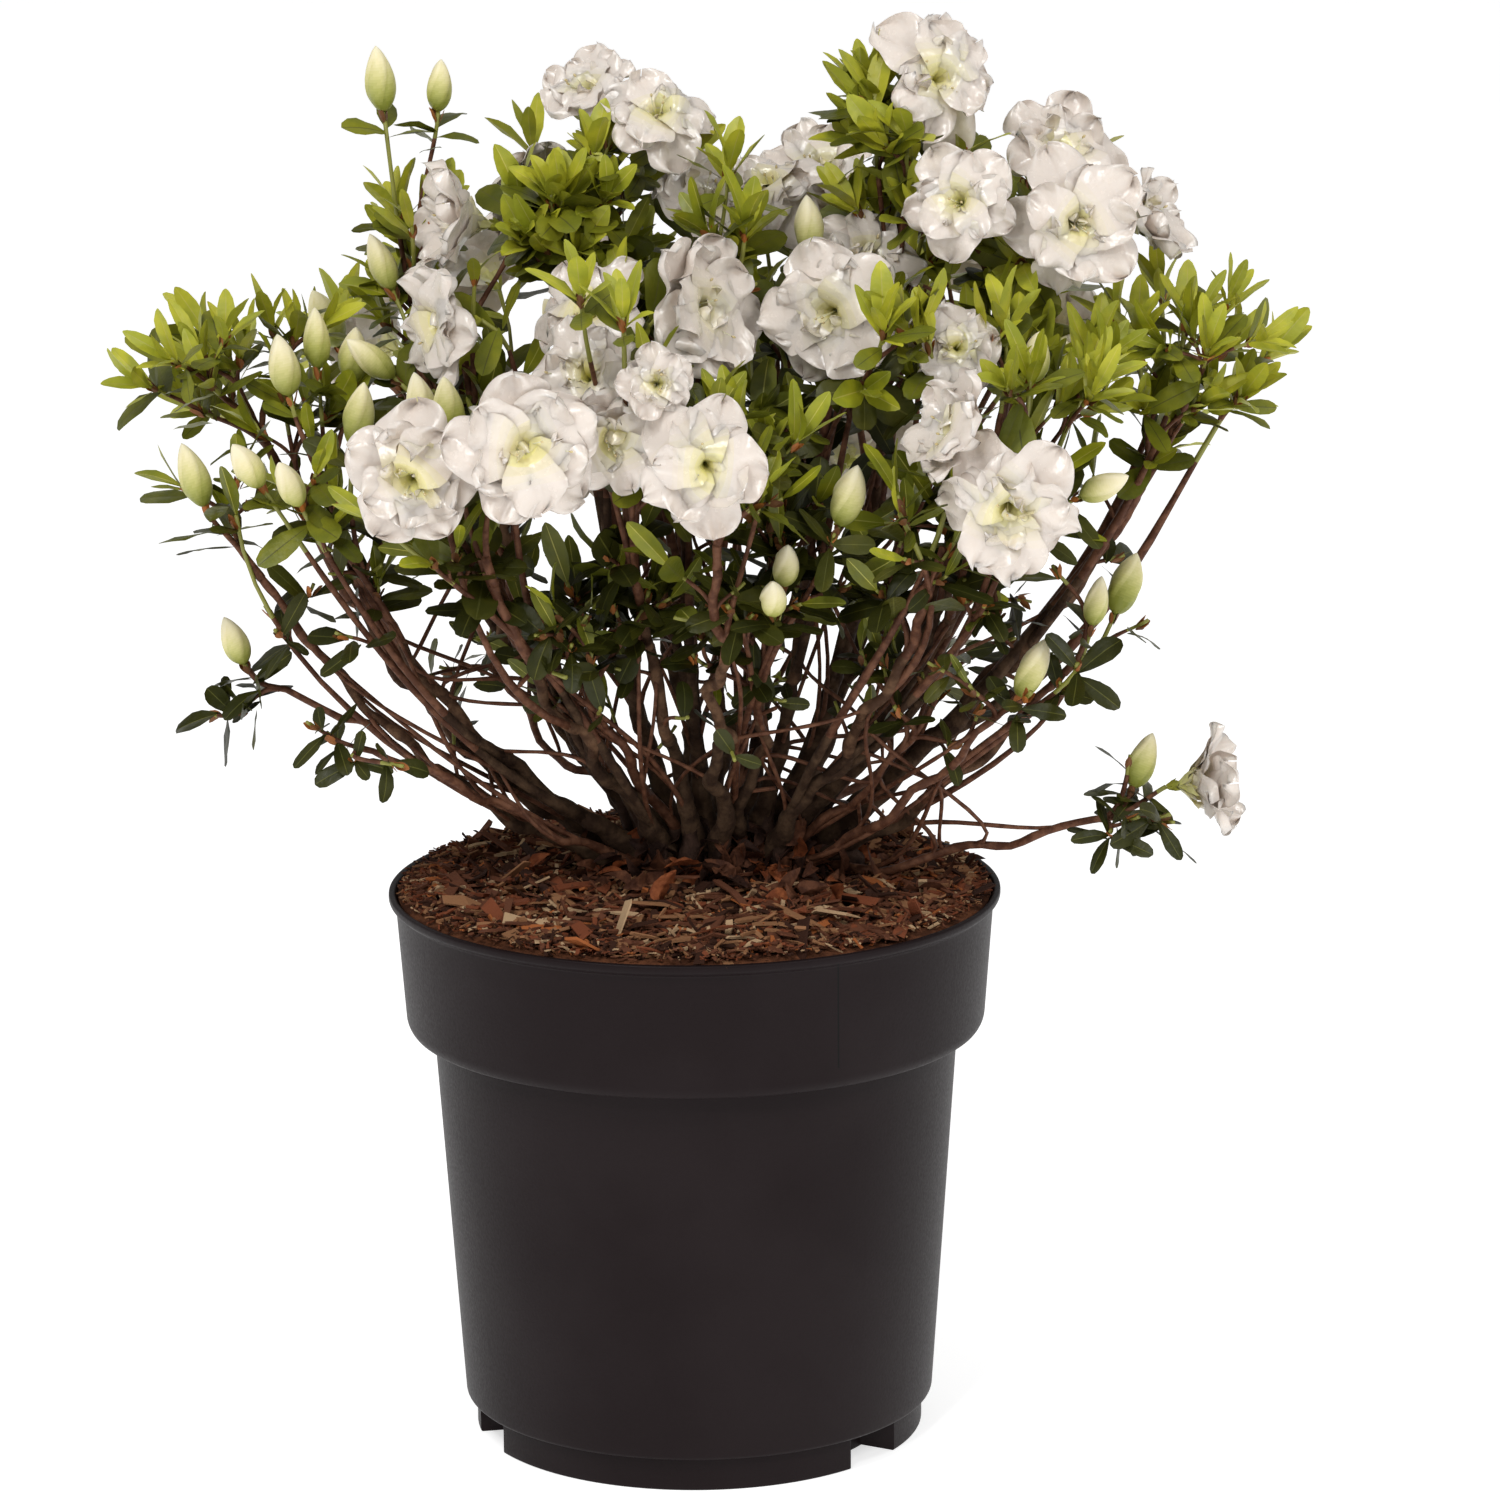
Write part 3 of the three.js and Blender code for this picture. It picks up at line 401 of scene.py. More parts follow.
LIMBS = {
    "far_left": limb((-152, 6, 368), 24, 64, 3.6, 1.9, 16, 4, 40, 70),
    "left_buds": limb(
        (-126, -32, 350), 34, 70, 3.4, 1.9, 14, 2, 36, 80,
        buds=[(-155, -52, 374), (-141, -56, 368), (-136, -14, 410), (-146, -24, 402), (-124, -12, 404),
              (-122, -40, 386)],
    ),
    "left_low": limb((-158, -24, 334), 20, 56, 2.8, 1.7, 12, 2, 22, 82, buds=[(-178, -24, 361)]),
    "tall_left": limb(
        (-97, 22, 410), 52, 84, 3, 1.7, 34, 2, 30, 84, buds=[(-112, 20, 500), (-92, 20, 500)],
    ),
    "upper_left": limb(
        (-80, -12, 398), 56, 80, 3.2, 1.8, 14, 2, 42, 62,
        blooms=[(-87, -4, 464, -165, 12, 1.05), (-92, -32, 430, -150, 2, 1)],
        buds=[(-108, -20, 408), (-109, 4, 436)],
    ),
    "front_left": limb(
        (-70, -84, 344), 50, 66, 3.3, 1.9, 12, 2, 42, 88,
        blooms=[(-98, -118, 389, -96, 4, 1.12), (-57, -128, 401, -82, 4, 1.15)],
        buds=[(-93, -78, 398), (-84, -86, 398)],
    ),
    "front_middle": limb(
        (-22, -66, 362), 62, 74, 3.2, 1.9, 12, 1, 40, 84,
        blooms=[(-36, -88, 421, -100, 26, 0.95), (-27, -108, 400, -80, -8, 0.95),
                (-10, -124, 424, -86, 14, 0.6)],
    ),
    "front_right": limb(
        (10, -98, 352), 56, 74, 3.1, 1.9, 10, 1, 30, 88, blooms=[(7, -140, 397, -84, 2, 1.05)],
    ),
    "top_left": limb(
        (-40, 16, 424), 70, 82, 3.5, 2, 16, 3, 54, 78,
        blooms=[(-38, 20, 511, -120, 55, 0.85), (-10, 0, 503, -80, 42, 0.95),
                (-60, 36, 472, 135, 26, 0.85)],
    ),
    "centre": limb(
        (-4, -24, 396), 74, 80, 3.3, 2, 12, 2, 52, 72,
        blooms=[(8, 22, 468, -60, 48, 0.95), (8, -60, 440, -44, 10, 1.25), (-36, -34, 436, -112, 36, 0.95)],
    ),
    "centre_right": limb(
        (50, -24, 392), 66, 78, 3.4, 2, 12, 2, 50, 76,
        blooms=[(50, -54, 436, -108, 2, 1.2), (66, -8, 452, -62, 40, 0.9)], buds=[(45, -12, 450)],
    ),
    "back_middle": limb(
        (36, 60, 406), 66, 80, 3.3, 1.9, 14, 2, 46, 80,
        blooms=[(30, 62, 467, -120, 52, 0.9), (50, 84, 470, -90, 42, 0.95)],
    ),
    "top_right": limb(
        (78, 8, 448), 62, 84, 3.4, 1.9, 22, 4, 42, 82, blooms=[(93, -12, 516, -62, 20, 1.1)],
    ),
    "upper_right": limb(
        (122, 4, 412), 54, 76, 3.6, 2, 14, 2, 48, 66,
        blooms=[(98, -50, 476, -98, 14, 0.9), (138, 2, 488, -68, 40, 1.1), (140, -42, 467, -80, 4, 1.15),
                (172, 12, 460, -22, 18, 0.9)],
    ),
    "right_leafy": limb(
        (116, -48, 376), 50, 74, 3.2, 1.9, 14, 3, 50, 72,
        blooms=[(97, -72, 427, -82, 18, 0.8)], buds=[(124, -62, 412), (141, -62, 370)],
    ),
    "far_right": limb((178, 6, 380), 44, 64, 5, 2.1, 14, 5, 46, 70),
    "right_front": limb(
        (88, -76, 344), 50, 68, 3.1, 1.9, 12, 2, 38, 86,
        blooms=[(91, -108, 404, -152, 28, 0.95), (112, -126, 378, -94, -14, 1.12)],
    ),
    "right_buds": limb(
        (136, -50, 302), 20, 46, 2.6, 1.7, 8, 2, 26, 100, buds=[(146, -52, 320), (155, -42, 322)],
    ),
    "inner_front": limb(
        (30, -58, 318), 62, 72, 2.7, 1.6, 10, 2, 38, 96,
        buds=[(30, -92, 334), (34, -80, 342), (54, -82, 364)],
    ),
    "rear_left": limb(
        (-104, 84, 366), 42, 68, 3.5, 1.9, 14, 3, 48, 84,
        blooms=[(-124, 100, 402, 146, 18, 1.05), (-82, 116, 430, 122, 34, 1)], buds=[(-134, 70, 404)],
    ),
    "rear_middle": limb(
        (-18, 104, 384), 58, 74, 3.4, 1.9, 14, 3, 48, 84,
        blooms=[(-32, 150, 420, 98, 18, 1.1), (6, 126, 450, 84, 46, 1)], buds=[(-46, 138, 392)],
    ),
    "rear_right": limb(
        (98, 96, 376), 46, 70, 3.6, 1.9, 14, 3, 50, 82,
        blooms=[(66, 146, 414, 78, 14, 1.1), (104, 122, 440, 60, 34, 1.05), (146, 96, 402, 34, 18, 1)],
    ),
    "rear_low": limb(
        (12, 122, 318), 36, 58, 3, 1.8, 12, 2, 42, 90,
        blooms=[(-40, 150, 350, 108, 6, 1), (66, 150, 346, 70, 4, 1.05)], buds=[(16, 158, 344)],
    ),
    "left_foot": limb(
        (-158, -13, 291), 16, 18, 1.9, 1.3, 8, 2, 20, 84, buds=[(-166, -12, 299)], spray=True,
    ),
    "left_foot_low": limb((-122, -50, 276), 20, 20, 1.8, 1.3, 8, 2, 16, 84, spray=True),
    "inner_left": limb((-38, -55, 308), 58, 84, 2.4, 1.5, 8, 3, 28, 90, spray=True),
    "right_low": limb(
        (112, -64, 290), 20, 44, 2.1, 1.4, 8, 3, 22, 90, buds=[(119, -64, 296)], spray=True,
    ),
    "right_dark": limb((82, -43, 278), 34, 50, 1.9, 1.3, 8, 3, 24, 90, spray=True),
    "inner_back": limb((22, 34, 296), 70, 84, 2.2, 1.4, 8, 2, 24, 96, spray=True),
    "rear_foot_left": limb((-78, 88, 274), 24, 44, 2.1, 1.4, 8, 2, 24, 90, spray=True),
    "rear_foot_right": limb((96, 82, 268), 24, 44, 2.1, 1.4, 8, 2, 24, 90, spray=True),
    "right_foot": limb(
        (153, -44, 246), 3, 16, 2, 1.4, 8, 3, 26, 86,
        blooms=[(192, -40, 258, -14, 8, 0.95)], buds=[(162, -40, 256)], spray=True,
    ),
}
ROWS = list(LIMBS.values())
UP = np.array([0.0, 0.0, 1.0])
GOLDEN_ANGLE = np.radians(137.508)

CROWN = {"x": 10, "y": 8, "half_width": 40, "half_depth": 30, "foot": 208.42, "height": 26}
CROWN_TOP = CROWN["foot"] + CROWN["height"]
HEEL = {"deepest": 19, "shallowest": 6, "steepest": 75, "nearest": 0.25, "furthest": 0.92, "reach": 180,
        "apart": 1.5, "rounds": 80}
SWING = {"tries": 40, "step": 4, "up_share": 0.8, "chords": 5, "samples": 8, "clear": 1}


def column(rows, key):
    """What each row holds under the key, as one array."""
    return np.array([row[key] for row in rows])


def heading(bearing, rise):
    """Cosine of the bearing times cosine of the rise, sine times cosine, and the sine of the rise."""
    b, r = np.radians(bearing), np.radians(rise)
    return np.stack([np.cos(b) * np.cos(r), np.sin(b) * np.cos(r), np.sin(r) + 0 * b], axis=-1)


def across(direction):
    """A direction square to each given one: its cross product with up, or with X where it is steep."""
    steep = np.abs(direction[..., 2:]) >= 0.9
    return unit(np.cross(direction, np.where(steep, [1.0, 0, 0], UP)))


def chance(limb_number, shoot, use):
    """The seeded rule of the shrub: the fraction of a large multiple of a sine of its arguments."""
    mixed = np.sin(limb_number * 127.1 + shoot * 311.7 + use * 74.7) * 43758.5453
    return mixed - np.floor(mixed)


def between(span, limb_number, shoot, use):
    """A value between the two of a span, by the seeded rule."""
    return span[0] + (span[1] - span[0]) * chance(limb_number, shoot, use)


def bezier(p0, p1, p2, p3, share):
    """The cubic curve: the four points weighted by the four Bernstein polynomials of share."""
    t = np.asarray(share)[:, None]
    p0, p1, p2, p3 = (p[..., None, :] for p in (p0, p1, p2, p3))
    return (1 - t) ** 3 * p0 + 3 * t * (1 - t) ** 2 * p1 + 3 * t**2 * (1 - t) * p2 + t**3 * p3


def limb_heels():
    """A limb's heel lies towards its tip, further out for a longer reach. Heels nearer each other than
    both radii and a gap move apart by half of what is missing, round after round."""
    away = column(ROWS, "tip")[:, :2] - [CROWN["x"], CROWN["y"]]
    length = np.linalg.norm(away, axis=1, keepdims=True)
    share = HEEL["nearest"] + (HEEL["furthest"] - HEEL["nearest"]) * np.minimum(1, length / HEEL["reach"])
    feet = away / length * share * [CROWN["half_width"], CROWN["half_depth"]]
    for _ in range(HEEL["rounds"]):
        for i in range(len(feet)):
            for j in range(i + 1, len(feet)):
                towards = feet[j] - feet[i]
                gap = np.linalg.norm(towards)
                short = ROWS[i]["base"] + ROWS[j]["base"] + HEEL["apart"] - gap
                if short > 0:
                    feet[i] = feet[i] - towards / gap * short / 2
                    feet[j] = feet[j] + towards / gap * short / 2
    lift = column(ROWS, "lift") / HEEL["steepest"]
    depth = HEEL["deepest"] + (HEEL["shallowest"] - HEEL["deepest"]) * lift
    return np.column_stack([feet + [CROWN["x"], CROWN["y"]], CROWN_TOP - depth])


AHEAD_OF_HEEL = 0.38
BEFORE_TIP = 0.36


def limb_corners(row, heel, side, up):
    """The curve's four points: the heel, a point a share of the span ahead of it at the lift, a point a
    share of the span before the tip at the arrival, both swung sideways and up, and the tip."""
    reach = row["tip"] - heel
    bearing, span = np.degrees(np.arctan2(reach[1], reach[0])), np.linalg.norm(reach)
    swing = heading(bearing + 90, 0) * side + UP * up
    out = heel + heading(bearing, row["lift"]) * AHEAD_OF_HEEL * span + swing
    back = row["tip"] - heading(bearing, row["arrive"]) * BEFORE_TIP * span + swing
    return heel, out, back, row["tip"]


def chord_beads(corners, row):
    """Points down the straight chords of the curve, which are evenly spaced by length, and radii."""
    fine = bezier(*corners, np.linspace(0, 1, 201))
    gone = np.concatenate([[0], np.cumsum(np.linalg.norm(np.diff(fine, axis=0), axis=1))])
    stops = np.interp(np.linspace(0, gone[-1], SWING["chords"] + 1), gone, np.linspace(0, 1, 201))
    joints = bezier(*corners, stops)
    within = (np.arange(SWING["samples"]) + 0.5) / SWING["samples"]
    beads = joints[:-1, None] + (joints[1:] - joints[:-1])[:, None] * within[:, None]
    share = (np.arange(SWING["chords"] * SWING["samples"]) + 0.5) / (SWING["chords"] * SWING["samples"])
    return beads.reshape(-1, 3), row["base"] + (row["end"] - row["base"]) * share


def limb_routes():
    """Each limb takes the first swing that clears the limbs before it, or the one that clears most."""
    routes, placed = [], []
    for row, heel in zip(ROWS, limb_heels()):
        best = None
        for k in range(SWING["tries"]):
            size = SWING["step"] * -(-k // 4)
            corners = limb_corners(row, heel, (0, 1, -1, 0)[k % 4] * size,
                                   (1, 0, 0, -1)[k % 4] * size * SWING["up_share"])
            beads, radii = chord_beads(corners, row)
            gaps = [(np.linalg.norm(beads[:, None] - other, axis=-1) - radii[:, None] - thick).min()
                    for other, thick in placed]
            gap = min(gaps, default=np.inf)
            if best is None or gap > best[0]:
                best = (gap, corners, beads, radii)
            if gap > SWING["clear"]:
                break
        routes.append(best[1])
        placed.append(best[2:])
    return routes


ROUTES = limb_routes()

# ---------------------------------------------------------------- boughs
# The boughs are the old wood of the shrub: thin stems with dark, grey-brown, flaking bark, a little
# crooked, and swollen where old shoots have come off. They flare where they grow out of the crown.

BOUGH_RINGS = 64
BOUGH_SIDES = 12
BARK_AGES = (0.38, 0.72)
WANDER = {"wave": 58, "width": 3.6, "kink": 21, "kink_width": 0.9, "stretch": (0.75, 1.25), "quicker": 1.4}
BARK = {"neck": 0.86, "flare": 0.9, "flare_length": 15, "knot": 0.12, "knots_apart": 27, "knot_length": 5,
        "ridges": (0.09, 9), "flakes": (0.05, 3.4)}


def tubes(paths, radii, sides):
    """Rings carried along paths, an array of paths by points by 3. A ring's first axis is a fixed side
    direction made square to the path, and its second is square to both."""
    along = unit(np.gradient(paths, axis=1))
    side = across(unit(paths[:, -1] - paths[:, 0]))[:, None]
    first = unit(side - along * (side * along).sum(-1, keepdims=True))
    second = np.cross(along, first)
    turn = np.linspace(0, 2 * np.pi, sides, endpoint=False)[:, None]
    ring = first[:, :, None] * np.cos(turn) + second[:, :, None] * np.sin(turn)
    return paths[:, :, None] + ring * np.atleast_3d(radii)[..., None]


def wandering(path, number):
    """The path with two slow sine waves and a quick saw of kinks laid across it, which all fade out at
    both ends."""
    share = np.linspace(0, 1, len(path))
    length = np.linalg.norm(path[-1] - path[0])
    side = across(unit(path[-1] - path[0]))
    fade = np.sin(np.pi * share) ** 0.6
    gone = share * length * between(WANDER["stretch"], number, 4, 41)
    turns = gone / WANDER["wave"]
    slow = np.sin(2 * np.pi * (turns + chance(number, 1, 41))) * WANDER["width"]
    quick = np.sin(2 * np.pi * (turns * WANDER["quicker"] + chance(number, 2, 41))) * WANDER["width"]
    kink = np.arcsin(np.sin(2 * np.pi * (gone / WANDER["kink"] + chance(number, 5, 41))))
    kink = kink * WANDER["kink_width"]
    swayed = (slow + kink)[:, None] * side + (0.6 * quick + 0.5 * kink)[:, None] * UP
    return path + fade[:, None] * swayed


def bough_radii(row, path, number):
    """The taper, times a flare that dies away from the heel, knots that come at even gaps, and two
    ripples of the bark, each of a height and a wavelength."""
    share = np.linspace(0, 1, len(path))[:, None]
    gone = share * np.linalg.norm(path[-1] - path[0])
    taper = row["base"] + (row["end"] - row["base"]) * share
    flare = BARK["neck"] + BARK["flare"] * np.exp(-gone / BARK["flare_length"])
    from_knot = (gone + 60 * chance(number, 3, 41)) % BARK["knots_apart"] - 13
    knots = 1 + BARK["knot"] * np.exp(-(from_knot**2) / BARK["knot_length"])
    smooth = tubes(path[None], taper.T, BOUGH_SIDES)[0]
    (ridge, ridge_wave), (flake, flake_wave) = BARK["ridges"], BARK["flakes"]
    relief = 1 + ridge * ripple(smooth, ridge_wave, 20 + number)
    relief = relief + flake * ripple(smooth, flake_wave, 60 + number)
    return taper * flare * knots * relief


bark = finish("old bark", (0.036, 0.019, 0.0112), (0.72, 0.92), 620, 0.8,
              patches=((0.088, 0.051, 0.029), 150), Specular_IOR_Level=0.12)
browner_bark = finish("browner bark", (0.056, 0.027, 0.0145), (0.62, 0.85), 700, 0.6,
                      patches=((0.135, 0.072, 0.039), 180), Specular_IOR_Level=0.14)
young_bark = finish("young bark", (0.082, 0.03, 0.015), (0.5, 0.72), 900, 0.35,
                    patches=((0.16, 0.068, 0.036), 260), Specular_IOR_Level=0.2)
LIMB_PATHS = [wandering(bezier(*corners, np.linspace(0, 1, BOUGH_RINGS)), number)
              for number, corners in enumerate(ROUTES)]
for number, (name, row) in enumerate(LIMBS.items()):
    if row["spray"]:
        continue
    path = LIMB_PATHS[number]
    tube = tubes(path[None], bough_radii(row, path, number)[None], BOUGH_SIDES)
    ring = np.arange(BOUGH_RINGS - 1)[None, :, None]
    age = sum((ring > BOUGH_RINGS * share).astype(int) for share in BARK_AGES)
    bough = add_piece("bark_" + name, [skin(tube, age)], [bark, browner_bark, young_bark])
    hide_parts("bough_" + name)

# ---------------------------------------------------------------- woody crown
# The crown is the stump that all stems share, a low knotted mound of old wood that stands in the
# compost. From the butt of each stem a swollen root runs out over it and down into the mulch.

CROWN_DOME = {"rows": 34, "columns": 132, "below_foot": 5, "height": 21, "knots": (2.6, 15),
              "lumps": (1.2, 5)}
# how many furrows go round, how deep they are as a share of the radius, and how they lean
FURROWS = [(5, 0.09, 0), (9, 0.06, 2), (17, 0.045, -3)]


def crown_grid():
    """An oval dome: the radius falls as the height rises, by a power of their shares, and furrows of
    three spacings and two ripples are cut into it."""
    share = np.linspace(0, 1, CROWN_DOME["rows"])[:, None]
    turn = np.linspace(0, 2 * np.pi, CROWN_DOME["columns"], endpoint=False)
    radius = np.clip(1 - share**2.6, 0.0004, 1) ** 0.5 * (1 + 0.1 * (1 - share) ** 2)
    cuts = (deep * np.cos(count * turn + lean * share) for count, deep, lean in FURROWS)
    furrows = sum(cuts, 1)
    x = CROWN["half_width"] * radius * furrows * np.cos(turn)
    y = CROWN["half_depth"] * radius * furrows * np.sin(turn)
    z = CROWN["foot"] - CROWN_DOME["below_foot"] + CROWN_DOME["height"] * share + 0 * turn
    grid = np.stack([CROWN["x"] + x, CROWN["y"] + y, z], axis=-1)
    (knot, knot_wave), (lump, lump_wave) = CROWN_DOME["knots"], CROWN_DOME["lumps"]
    uneven = knot * ripple(grid, knot_wave, 81) + lump * ripple(grid, lump_wave, 82)
    outward = unit(np.stack([x, y, 12 * share + 0 * turn], axis=-1))
    return (grid + outward * uneven[..., None])[None]


def butt_grids(rows=9, sides=9):
    """From a point low on each limb a tube runs down past the heel and outwards to the mulch, and its
    radius grows with the share along it, with a ripple."""
    paths = []
    for path in LIMB_PATHS:
        away = (path[0] - [CROWN["x"], CROWN["y"], 0]) * [1, 1, 0]
        away = away / max(np.linalg.norm(away), 1)
        foot = np.append((path[0] + 9 * away)[:2], CROWN["foot"] + 1)
        paths.append(bezier(path[6], path[0] + 2 * away, foot + 7 * UP, foot, np.linspace(0, 1, rows)))
    paths = np.array(paths)
    base = column(ROWS, "base")[:, None]
    swell = base * np.linspace(0.95, 1.9, rows) * (1 + 0.16 * ripple(paths, 8, 83))
    return tubes(paths, swell, sides)


dark_wood = finish("dark old wood", (0.02, 0.0095, 0.0065), (0.75, 0.95), 500, 1.2,
                   patches=((0.062, 0.034, 0.024), 120), Specular_IOR_Level=0.12)
crown = add_piece("crown_wood", [skin(crown_grid()), skin(butt_grids())], [dark_wood])
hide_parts("woody_crown")

# ---------------------------------------------------------------- twigs
# Twigs are the wood of the last few years, thin and red-brown, and green towards their tips. Some fork
# from the end of a bough and others leave it further down. Finer side shoots grow on them, so that the
# shoot ends fill the reach of each mass.

BLOOM = {"radius": 23.5, "depth": 19}
TWIG_RINGS = 12
TWIG_SIDES = 6
TWIG_TIP = 0.85
TWIG_HANDLES = (0.42, 0.3)
SHOOT_RADII = (0.95, 0.7)
LOW = 320
FORK = {"from_stem": 0.34, "apart": 2.4, "margin": 2, "share": (0.07, 0.82), "stem": 0.8, "bough": 0.72}
LEAFY_END = {"straightest": 0.3, "upturn": 0.28, "reach": (0.72, 1)}
TALL_BUD = {"above": 430, "room": 22}
SIDE_SHOOTS = {"leafy": 3, "bloom": 2, "bud": 1}
SIDE_SHOOT = {"share": (0.5, 0.92), "open": (35, 60), "upturn": 0.45, "length": (13, 30), "off_bloom": 4}
INNER_SHOOT = {"each": 5, "share": (0.34, 0.96), "onward": 0.5, "upturn": 0.35, "length": (12, 32),
               "middle": 95, "lowest": 272, "lowest_outside": 335}

# Lists of what has grown, which the functions below fill: curves of twigs, shoot ends, and flowers.
twigs = []
tips = []
blooms = []
buds = []


def twig(start, way, end, arrive, thick, thin, kind):
    """Keeps a twig's curve, which leaves along `way` and comes in along `arrive`, and its radii."""
    span = np.linalg.norm(end - start)
    ahead, before_end = TWIG_HANDLES
    corners = (start, start + way * ahead * span, end - arrive * before_end * span, end)
    path = bezier(*corners, np.linspace(0, 1, TWIG_RINGS))
    twigs.append({"path": path, "thick": thick, "thin": thin, "kind": kind})
    return path


def add_tip(end, way, kind, number, seed):
    """Keeps a shoot end that leaves grow round."""
    tips.append({"end": end, "way": way, "kind": kind, "limb": number, "seed": seed})


def place_on(path, ring):
    """A point of the path, and the way that the path runs there."""
    return path[ring], unit(path[ring + 1] - path[ring])


def beside(way, turn):
    """The direction square to `way` at a turn about it: a side direction times the cosine, and the cross
    product of the two times the sine."""
    side = across(way)
    return side * np.cos(turn) + np.cross(way, side) * np.sin(turn)


def fork_of(number, row):
    """Where a mass forks, straight on from its limb by the length of its stem, and the way there."""
    along = unit(ROUTES[number][3] - ROUTES[number][2])
    return row["tip"] + along * (0 if row["spray"] else row["stem"]), along


def keep_flowers(number, row):
    """Keeps the places of a row's blooms and buds. A bud points away from the fork and upwards."""
    for x, y, z, bearing, rise, size in row["blooms"]:
        mouth, facing = np.array([x, y, z], float), heading(bearing, rise)
        foot = mouth - facing * BLOOM["depth"] * size
        blooms.append({"mouth": mouth, "foot": foot, "facing": facing, "size": size, "limb": number})
    for foot in np.array(row["buds"], float):
        way = unit(unit(foot - fork_of(number, row)[0]) + UP)
        buds.append({"foot": foot, "way": way, "limb": number})


FRONT = heading(-90, 13.5)
VIEW = {"behind": 9, "ahead": 50, "bud_middle": 12, "bud_radius": 9.5, "bloom_share": 0.62}


def before(places, targets, radii):
    """True for a place that stands a little behind a target or some way before it, as seen from the
    front, and within its radius."""
    apart = places[:, None] - targets
    ahead = (apart * FRONT).sum(-1)
    aside = np.linalg.norm(apart - ahead[..., None] * FRONT, axis=-1)
    return ((ahead > -VIEW["behind"]) & (ahead < VIEW["ahead"]) & (aside < radii)).any(axis=1)


def hides_a_flower(places):
    """True for a place right before a bud, or before the middle of a bloom."""
    middles = column(buds, "foot") + VIEW["bud_middle"] * column(buds, "way")
    wide = VIEW["bloom_share"] * BLOOM["radius"] * column(blooms, "size")
    return before(places, middles, VIEW["bud_radius"]) | before(places, column(blooms, "mouth"), wide)


def leafy_end(number, row, i):
    """Shoots open from the fork by the golden angle, the first nearly straight on, and turn upwards."""
    fork, along = fork_of(number, row)
    opened = np.radians(row["spread"]) * np.sqrt((i + LEAFY_END["straightest"]) / row["leafy"])
    out = beside(along, GOLDEN_ANGLE * i + 2 * np.pi * chance(number, 0, 3))
    way = unit(along * np.cos(opened) + out * np.sin(opened) + LEAFY_END["upturn"] * UP)
    end = fork + way * row["reach"] * between(LEAFY_END["reach"], number, i, 5)
    return "leafy", end, unit(way + 0.5 * UP)


def grow_mass(number, row):
    """The twigs of one mass: to each bloom and bud and to each leafy end, with their side shoots. Some
    leave the stem one below the other, and the others leave the bough further down."""
    path = LIMB_PATHS[number]
    fork, along = fork_of(number, row)
    ends = [("bloom", b["foot"], unit(0.8 * b["facing"] + 0.35 * UP)) for b in blooms if b["limb"] == number]
    ends += [("bud", b["foot"], b["way"]) for b in buds if b["limb"] == number]
    ends += [leafy_end(number, row, i) for i in range(row["leafy"])]
    apart = min(FORK["apart"], (row["stem"] - FORK["margin"]) / len(ends))
    top = min([z - TALL_BUD["room"] for x, y, z in row["buds"] if z > TALL_BUD["above"]], default=np.inf)
    for k, (kind, end, arrive) in enumerate(ends):
        if row["spray"] or chance(number, k, 31) < FORK["from_stem"]:
            start, way, thick = fork - along * (1 + apart * k), along, row["end"] * FORK["stem"]
        else:
            share = between(FORK["share"], number, k, 37)
            start, way = place_on(path, int(share * (BOUGH_RINGS - 1)))
            thick = FORK["bough"] * (row["base"] + (row["end"] - row["base"]) * share)
        line = twig(start, way, end, arrive, thick, TWIG_TIP, kind)
        add_tip(end, arrive, kind, number, 100 + k)
        grow_side_shoots(number, k, kind, line, top)


def grow_side_shoots(number, k, kind, line, top=np.inf):
    """Side shoots leave a twig by the golden angle and turn upwards. Those that would end above the top
    or hide a flower are left out."""
    for j in range(1 if line[-1, 2] < LOW else SIDE_SHOOTS[kind]):
        seed = 10 * k + j
        ring = int(between(SIDE_SHOOT["share"], number, seed, 51) * (TWIG_RINGS - 1))
        if kind == "bloom":
            ring = min(ring, TWIG_RINGS - SIDE_SHOOT["off_bloom"])
        start, way = place_on(line, ring)
        opened = np.radians(between(SIDE_SHOOT["open"], number, seed, 53))
        out = beside(way, GOLDEN_ANGLE * j + 2 * np.pi * chance(number, k, 55))
        arrive = unit(way * np.cos(opened) + out * np.sin(opened) + SIDE_SHOOT["upturn"] * UP)
        end = start + arrive * between(SIDE_SHOOT["length"], number, seed, 57)
        if end[2] > top or hides_a_flower(np.array([end, (start + end) / 2])).any():
            continue
        twig(start, way, end, arrive, *SHOOT_RADII, "side")
        add_tip(end, arrive, "side", number, 200 + seed)


def grow_inner_shoots(number):
    """Short shoots on the old wood of a limb, by the golden angle. Low down they only grow in the middle
    of the shrub."""
    for j in range(INNER_SHOOT["each"]):
        ring = int(between(INNER_SHOOT["share"], number, j, 71) * (BOUGH_RINGS - 2))
        start, way = place_on(LIMB_PATHS[number], ring)
        out = beside(way, GOLDEN_ANGLE * j + 2 * np.pi * chance(number, 0, 73))
        arrive = unit(INNER_SHOOT["onward"] * way + out + INNER_SHOOT["upturn"] * UP)
        end = start + arrive * between(INNER_SHOOT["length"], number, j, 75)
        within = np.hypot(*end[:2]) < INNER_SHOOT["middle"]
        low = end[2] < INNER_SHOOT["lowest" if within else "lowest_outside"]
        if not low and not hides_a_flower(end[None]).any():
            twig(start, way, end, arrive, *SHOOT_RADII, "side")
            add_tip(end, arrive, "inner", number, 400 + j)


